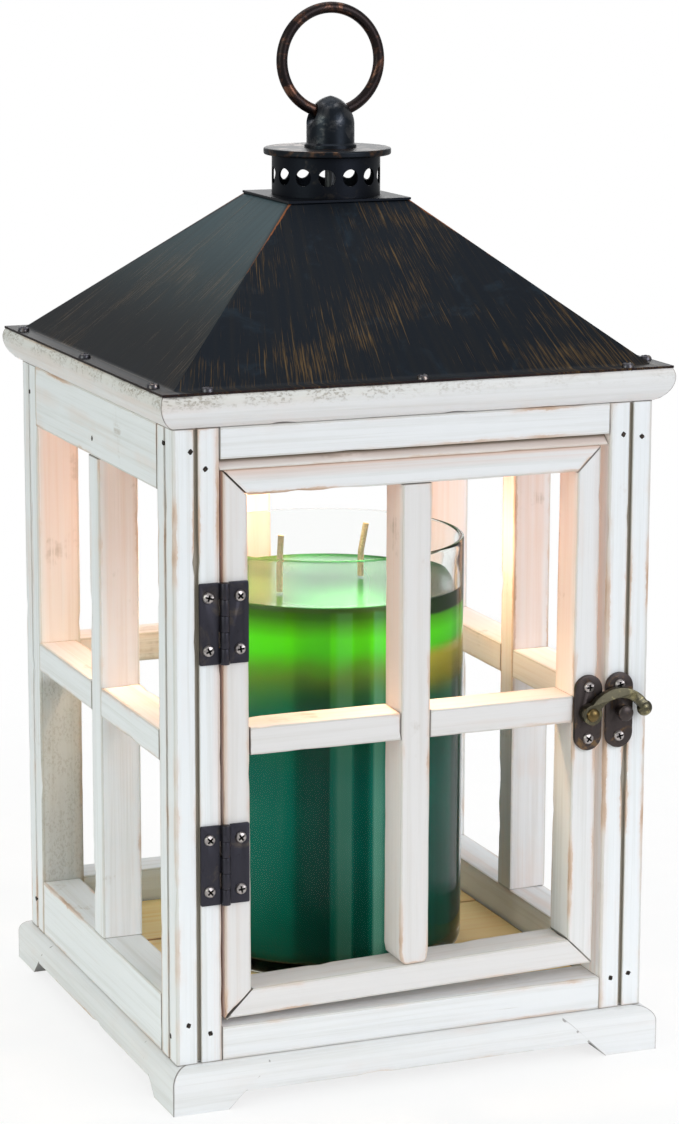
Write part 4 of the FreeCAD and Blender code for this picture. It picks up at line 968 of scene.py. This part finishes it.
def makeRoof():
    bm = mergedCopy("roof_shell", roofShape["flat"])
    low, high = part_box("roof_shell")
    rim, topHalf, far = roofShape["rim"], roofShape["topHalf"], roofShape["far"]
    for axis in range(3):
        slicedEvery(bm, axis, low[axis], high[axis], roofShape["step"] * (1 if axis < 2 else 2))
    bm.normal_update()
    slope = bm.loops.layers.float_vector.new("slope")
    rimGap = bm.verts.layers.float.new("rimGap")
    hipGap = bm.verts.layers.float.new("hipGap")

    def upFrom(z):
        return max(0.0, (z - rim) / (high.z - rim))

    for vert in bm.verts:
        x, y, z = vert.co
        vert[rimGap] = min(high.x - abs(x), high.y - abs(y)) / mm if z < rim + 0.2 * mm else far
        gaps = [abs(half * mm + (topHalf - half * mm) * upFrom(z) - abs(at))
                for half, at in zip(bodyHalf, (x, y))]
        vert[hipGap] = sum(gaps) / mm if z > rim - 0.1 * mm else far
    for face in bm.faces:
        sideways = abs(face.normal.x) > abs(face.normal.y)
        sheet = 2 * (face.normal[0 if sideways else 1] > 0) + sideways
        for loop in face.loops:
            # strokes lean a little apart towards the rim
            x, y, z = loop.vert.co
            lean = 1 + roofShape["fan"] * (roofShape["fanFrom"] - upFrom(z))
            loop[slope] = Vector((z * roofShape["stretch"], (y if sideways else x) / lean, sheet))
    for vert in bm.verts:
        if vert.co.z > rim + roofShape["dentFrom"] and vert[hipGap] > roofShape["hipKeep"]:
            push = max(0.0, noise.noise(vert.co * roofShape["dentGrain"])) * roofShape["dent"]
            vert.co -= Vector((0, 0, push))
    mesh = meshFrom("roofPanels", bm)
    smoothed(mesh, roofShape["sharp"])
    standIn(mesh, roofMetal, "roof_shell")
    return len(mesh.polygons)


print("roof is folded:", makeRoof(), "faces")


def stitch(bm, lower, upper):
    for i in range(len(lower)):
        j = (i + 1) % len(lower)
        bm.faces.new((lower[i], lower[j], upper[j], upper[i]))


screwShape = {
    # radius and height of the rings under the head, of its foot, wall and shoulder; a head is 1 by 1
    "rings": ((0.40, -4.5), (0.50, 0.0), (1.0, 0.0), (0.98, 0.35), (0.83, 0.78)),
    "arm": 0.17, "reach": 0.62, "floor": 0.28, "taper": 0.8, "sharp": 38,
}


def makeHead():
    # one screw of radius 1 and head height 1, looking up, with its cross sunk in
    bm = bmesh.new()
    a, r = screwShape["arm"], screwShape["reach"]
    corners, quarter = [], [(r, -a), (r, a), (a, a)]
    for turn in range(4):
        corners += quarter
        quarter = [(-y, x) for x, y in quarter]
    angles, count = [], len(corners)
    for i, (x, y) in enumerate(corners):
        here, (nextX, nextY) = math.atan2(y, x), corners[(i + 1) % count]
        angles += [here, here + (math.atan2(nextY, nextX) - here) % (2 * math.pi) / 2]
    rings = [[bm.verts.new((radius * math.cos(angle), radius * math.sin(angle), height)) for angle in angles]
             for radius, height in screwShape["rings"]]
    for lower, upper in zip(rings, rings[1:]):
        stitch(bm, lower, upper)
    bm.faces.new(list(reversed(rings[0])))
    shoulder = rings[-1]
    crown = [bm.verts.new((x, y, 1.0)) for x, y in corners]
    for i in range(count):
        j = (i + 1) % count
        bm.faces.new((shoulder[2 * i], shoulder[2 * i + 1], shoulder[2 * j], crown[j], crown[i]))
    taper, floor = screwShape["taper"], screwShape["floor"]
    low = [bm.verts.new((x * taper, y * taper, floor)) for x, y in corners]
    stitch(bm, crown, low)
    bm.faces.new(low)
    bmesh.ops.recalc_face_normals(bm, faces=bm.faces)
    mesh = meshFrom("screwPattern", bm)
    # painted shade: the cross is painted black down in its slots
    writeRow(mesh, "recess", [float(abs(v.co.z - floor) < 0.02) for v in mesh.vertices])
    smoothed(mesh, screwShape["sharp"])
    return linked("screwPattern", mesh)


nailShape = {
    # radius and height of its rings from the tip up, and the ragged outline of the head
    "rings": ((0.55, -2.0), (1.0, -0.15), (1.0, 0.12), (0.6, 0.0)),
    "outline": (1.0, 0.8, 1.05, 0.9, 0.75, 1.0, 0.85, 1.1, 0.9, 0.8),
}


def makeNail():
    bm = bmesh.new()
    outline = [(2 * math.pi * i / len(nailShape["outline"]), k) for i, k in enumerate(nailShape["outline"])]
    rings = [[bm.verts.new((radius * k * math.cos(angle), radius * k * math.sin(angle), height))
              for angle, k in outline] for radius, height in nailShape["rings"]]
    for lower, upper in zip(rings, rings[1:]):
        stitch(bm, lower, upper)
    bm.faces.new(rings[-1])
    bm.faces.new(list(reversed(rings[0])))
    bmesh.ops.recalc_face_normals(bm, faces=bm.faces)
    return linked("nailPattern", meshFrom("nailPattern", bm))


def buildSettingTree():
    # sets one pattern on every point, turned to face along the point's aim
    inputs = {"Geometry": "Geometry", "Pattern": "Object", "Radius": "Float", "Height": "Float",
              "Turn seed": "Int", "Finish": "Material"}
    tree, desk, entry, leave = nodeGroup("setOnPoints", "Geometry", inputs, {"Geometry": "Geometry"})

    def geometry(kind, feeds, **settings):
        return desk.put(kind, feeds, prefix="GeometryNode", **settings).outputs

    def function(kind, feeds, **settings):
        return desk.put(kind, feeds, prefix="FunctionNode", **settings)

    points = geometry("MeshToPoints", {"Mesh": entry["Geometry"]})[0]
    aim = geometry("InputNamedAttribute", {"Name": "aim"}, data_type="FLOAT_VECTOR")[0]
    facing = function("AlignRotationToVector", {"Vector": aim}, axis="Z").outputs[0]
    chance = function("RandomValue", {"Seed": entry["Turn seed"]}, data_type="FLOAT")
    chance.inputs[3].default_value = 2 * math.pi
    turn = function("AxisAngleToRotation", {"Axis": (0, 0, 1), "Angle": chance.outputs[1]}).outputs[0]
    spun = function("RotateRotation", {"Rotation": facing, "Rotate By": turn}, rotation_space="LOCAL")
    size = desk.put("CombineXYZ", {0: entry["Radius"], 1: entry["Radius"], 2: entry["Height"]}).outputs[0]
    pattern = geometry("ObjectInfo", {"Object": entry["Pattern"]})["Geometry"]
    placed = geometry("InstanceOnPoints", {"Points": points, "Instance": pattern, "Rotation": spun.outputs[0],
                                           "Scale": size})
    plain = geometry("RealizeInstances", {0: placed[0]})
    dressed = geometry("SetMaterial", {"Geometry": plain[0], "Material": entry["Finish"]})
    desk.feed(leave, {0: dressed[0]})
    return tree


settingTree = buildSettingTree()


def setOnPoints(name, spots, pattern, spec):
    # spots are (place, direction the head looks in)
    mesh = meshOf(name, [place for place, aim in spots])
    writeRow(mesh, "aim", [aim for place, aim in spots])
    seat = linked(name, mesh)
    modifier = seat.modifiers.new("set", "NODES")
    modifier.node_group = settingTree
    values = {"Pattern": pattern, "Radius": spec["radius"], "Height": spec["height"],
              "Turn seed": spec["seed"], "Finish": finish[spec["finish"]]}
    for item in settingTree.interface.items_tree:
        if item.item_type == "SOCKET" and item.in_out == "INPUT" and item.name in values:
            modifier[item.identifier] = values[item.name]
    depsgraph = bpy.context.evaluated_depsgraph_get()
    plain = bpy.data.meshes.new_from_object(seat.evaluated_get(depsgraph))
    plain.name = name
    seat.modifiers.clear()
    seat.data = plain
    return seat


fixings = {
    "roof_screws": {"aim": (0, 0, 1), "radius": 2.2 * mm, "height": 1.5 * mm, "seed": 4,
                    "finish": "darkScrew", "slot": "roof_metal"},
    "frame_screws": {"aim": (0, -1, 0), "radius": 2.0 * mm, "height": 1.0 * mm, "seed": 11,
                     "finish": "screwSteel", "slot": "screw_steel"},
    "door_screws": {"aim": (0, -1, 0), "radius": 2.0 * mm, "height": 1.0 * mm, "seed": 23,
                    "finish": "screwSteel", "slot": "screw_steel"},
}
headUnder = 1.0 * mm
crossHead = makeHead()


def makeScrews(nodeName):
    spec = fixings[nodeName]
    aim = Vector(spec["aim"])
    whole = mergedCopy(nodeName)
    whole.verts.ensure_lookup_table()
    spots = []
    for members in solidsOf(whole):
        cloud = np.array([whole.verts[i].co for i in members])
        middle = Vector((cloud.min(0) + cloud.max(0)) / 2)
        reach = max(Vector(point).dot(aim) for point in cloud)
        spots.append((middle + aim * (reach - middle.dot(aim) - headUnder), aim))
    whole.free()
    piece = setOnPoints(nodeName + "_heads", spots, crossHead, spec)
    settle(piece, nodeName)
    return len(spots)


print("screws are driven:", sum(makeScrews(nodeName) for nodeName in fixings))

nails = {"radius": 0.98 * mm, "height": 0.5 * mm, "seed": 5, "finish": "nailIron"}
nailRows = {
    # the way a side looks: place along the side and height of each nail, in mm
    (0, -1): [(-82.2, 228.4), (-77.0, 222.4), (77.2, 224.7), (84.4, 223.6), (-84.2, 29.8), (-76.3, 26.0),
              (76.4, 26.8), (83.4, 27.8)],
    (-1, 0): [(0.7, 219.8), (-76.6, 230.4), (-79.5, 24.5), (76.8, 225.5), (79.2, 27.1)],
    (1, 0): [(-77.5, 227.2), (76.2, 224.1), (-78.8, 25.7), (78.9, 26.9), (-0.9, 221.1)],
    (0, 1): [(-79.4, 226.5), (78.6, 224.6), (-78.3, 26.3), (79.8, 25.2)],
}


def makeNails():
    spots = []
    for (outX, outY), row in nailRows.items():
        for along, z in row:
            x, y = (outX * bodyHalf[0], along) if outX else (along, outY * bodyHalf[1])
            spots.append((Vector((x, y, z)) * mm, (outX, outY, 0)))
    piece = setOnPoints("brad_nails", spots, makeNail(), nails)
    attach(piece, "lantern")
    return len(spots)


print("nails are set:", makeNails())
for name in ("screwPattern", "nailPattern"):
    bpy.data.objects.remove(bpy.data.objects[name])


softened = {
    # node: bevel in mm, material, slot
    "hinge_frame_leaves": (0.16, "hingeGunmetal", "hinge_metal"),
    "hinge_door_leaves": (0.16, "hingeGunmetal", "hinge_metal"),
    "keeper_plate": (0.45, "oldBrass", "old_brass"),
    "latch_plate": (0.45, "oldBrass", "old_brass"),
    "latch_hook": (0.55, "hookBrass", "old_brass"),
}
bevelled = {"flat": 0.3, "cornersFrom": 50, "sharp": 35}


def softenHardware(nodeName):
    width, material, slotName = softened[nodeName]
    bm = mergedCopy(nodeName, bevelled["flat"])
    corners = outerEdges(bm, bevelled["cornersFrom"])
    bmesh.ops.bevel(bm, geom=corners, offset=width * mm, segments=2, profile=0.5, affect="EDGES",
                    clamp_overlap=True)
    mesh = meshFrom(nodeName + "_worked", bm)
    smoothed(mesh, bevelled["sharp"])
    standIn(mesh, finish[material], nodeName)


for nodeName in softened:
    softenHardware(nodeName)
print("hinges and plates are softened")


jar = {
    "radius": 50.7, "wall": 2.9, "foot": 24.1, "top": 179.3, "base": 5.1, "corner": 6.0, "hollow": 5.9,
    "rim": 0.9, "turns": 128, "bendSteps": 8, "rimSteps": 12,
    # radius, and height above the foot, of its arched underside
    "under": ((0.0, 1.6), (20.0, 1.5), (36.0, 1.0), (41.0, 0.2), (42.5, 0.0)),
}
wax = {
    "radius": 47.88, "foot": 29.1, "top": 162.1, "corner": 5.7, "meniscus": 0.9, "turns": 112, "bendSteps": 8,
    # steps in from the glass and down from the top, where the wax climbs the glass
    "climb": ((0.0, 0.6), (0.25, 0.0), (0.7, 0.35), (1.6, 0.7), (3.2, 0.9)),
}


def turnedMesh(name, outline, turns):
    # spins an outline of (radius, height) in mm, listed from the axis outwards and back to it
    points, faces, rings = [], [], []
    for radius, height in outline:
        count = turns if radius > 0 else 1
        rings.append([len(points) + i for i in range(count)])
        for i in range(count):
            angle = 2 * math.pi * i / turns
            points.append((radius * mm * math.cos(angle), radius * mm * math.sin(angle), height * mm))
    for lower, upper in zip(rings, rings[1:]):
        for i in range(turns):
            j = (i + 1) % turns
            corners = [lower[i % len(lower)], lower[j % len(lower)],
                       upper[j % len(upper)], upper[i % len(upper)]]
            faces.append(list(dict.fromkeys(corners)))
    mesh = meshOf(name, points, faces)
    mesh.shade_smooth()
    return mesh


def arc(middleR, middleZ, radius, start, end, count):
    steps = [math.radians(start + (end - start) * i / count) for i in range(count + 1)]
    return [(middleR + radius * math.cos(a), middleZ + radius * math.sin(a)) for a in steps]


def makeJar():
    out, foot, top, corner, hollow, rim = (
        jar[key] for key in ("radius", "foot", "top", "corner", "hollow", "rim"))
    inner, floor = out - jar["wall"], foot + jar["base"]
    line = [(radius, foot + up) for radius, up in jar["under"]]
    line += arc(out - corner, foot + corner, corner, -90, 0, jar["bendSteps"])
    line += [(out, z) for z in (foot + 20, foot + 60, foot + 100, top - 12)]
    line += arc(out - rim, top - rim, rim, 0, 180, jar["rimSteps"])
    line += [(out - 2 * rim, top - 3), (out - 2.2 * rim, top - 7)]
    line += [(inner, z) for z in (top - 14, foot + 100, foot + 60, floor + 8)]
    line += arc(inner - hollow, floor + hollow, hollow, 0, -90, jar["bendSteps"])
    line += [(radius, floor) for radius in (30.0, 12.0, 0.0)]
    standIn(turnedMesh("glass_jar", line, jar["turns"]), makeGlass(), "candle_jar")


def makeWaxFill():
    # it reaches a hair into the glass, so no air shows between them
    edge, foot, top, corner = (wax[key] for key in ("radius", "foot", "top", "corner"))
    line = [(0.0, foot)] + arc(edge - corner, foot + corner, corner, -90, 0, wax["bendSteps"])
    line += [(edge, z) for z in (foot + 30, foot + 60, foot + 90, top - 12, top - 3)]
    line += [(edge - inwards, top - down) for inwards, down in wax["climb"]]
    line += [(radius, top - wax["meniscus"]) for radius in (38.0, 28.0, 18.0, 8.0, 0.0)]
    mesh = turnedMesh("green_wax", line, wax["turns"])
    writeRow(mesh, "crown", [float(v.co.z > (top - 1.0) * mm and v.co.xy.length < (edge - 0.1) * mm)
                             for v in mesh.vertices])
    standIn(mesh, makeWax(), "candle_wax")


makeJar()
makeWaxFill()
print("candle is poured")


# CAD pieces that keep their shape
kept = {
    "roof_top_plate": "agedSteel", "vent_drum": "agedSteel", "vent_cap": "capSteel",
    "finial_dome": "domeSteel", "carry_ring": "ringBronze", "finial_stud": "bracketSteel",
    "stud_nut": "bracketSteel", "lamp_bracket": "bracketSteel", "holder_screws": "screwSteel",
    "hinge_pins": "hingeGunmetal", "keeper_peg": "oldBrass", "latch_rivet": "rivetBrass",
}
dressing = {nodeName: finish[name] for nodeName, name in kept.items()}
dressing["lamp_holder"] = makePlain("glazedCeramic")
dressing["reflector_bulb"] = makePlain("reflectorBulbGlass")
dressing["lead_grommet"] = makePlain("inletRubber")
dressing["candle_wicks"] = makeWick()
for nodeName, material in dressing.items():
    for slot in frame["nodes"][nodeName].material_slots:
        slot.material = material
print("metal, lamp and wicks are finished:", len(dressing))
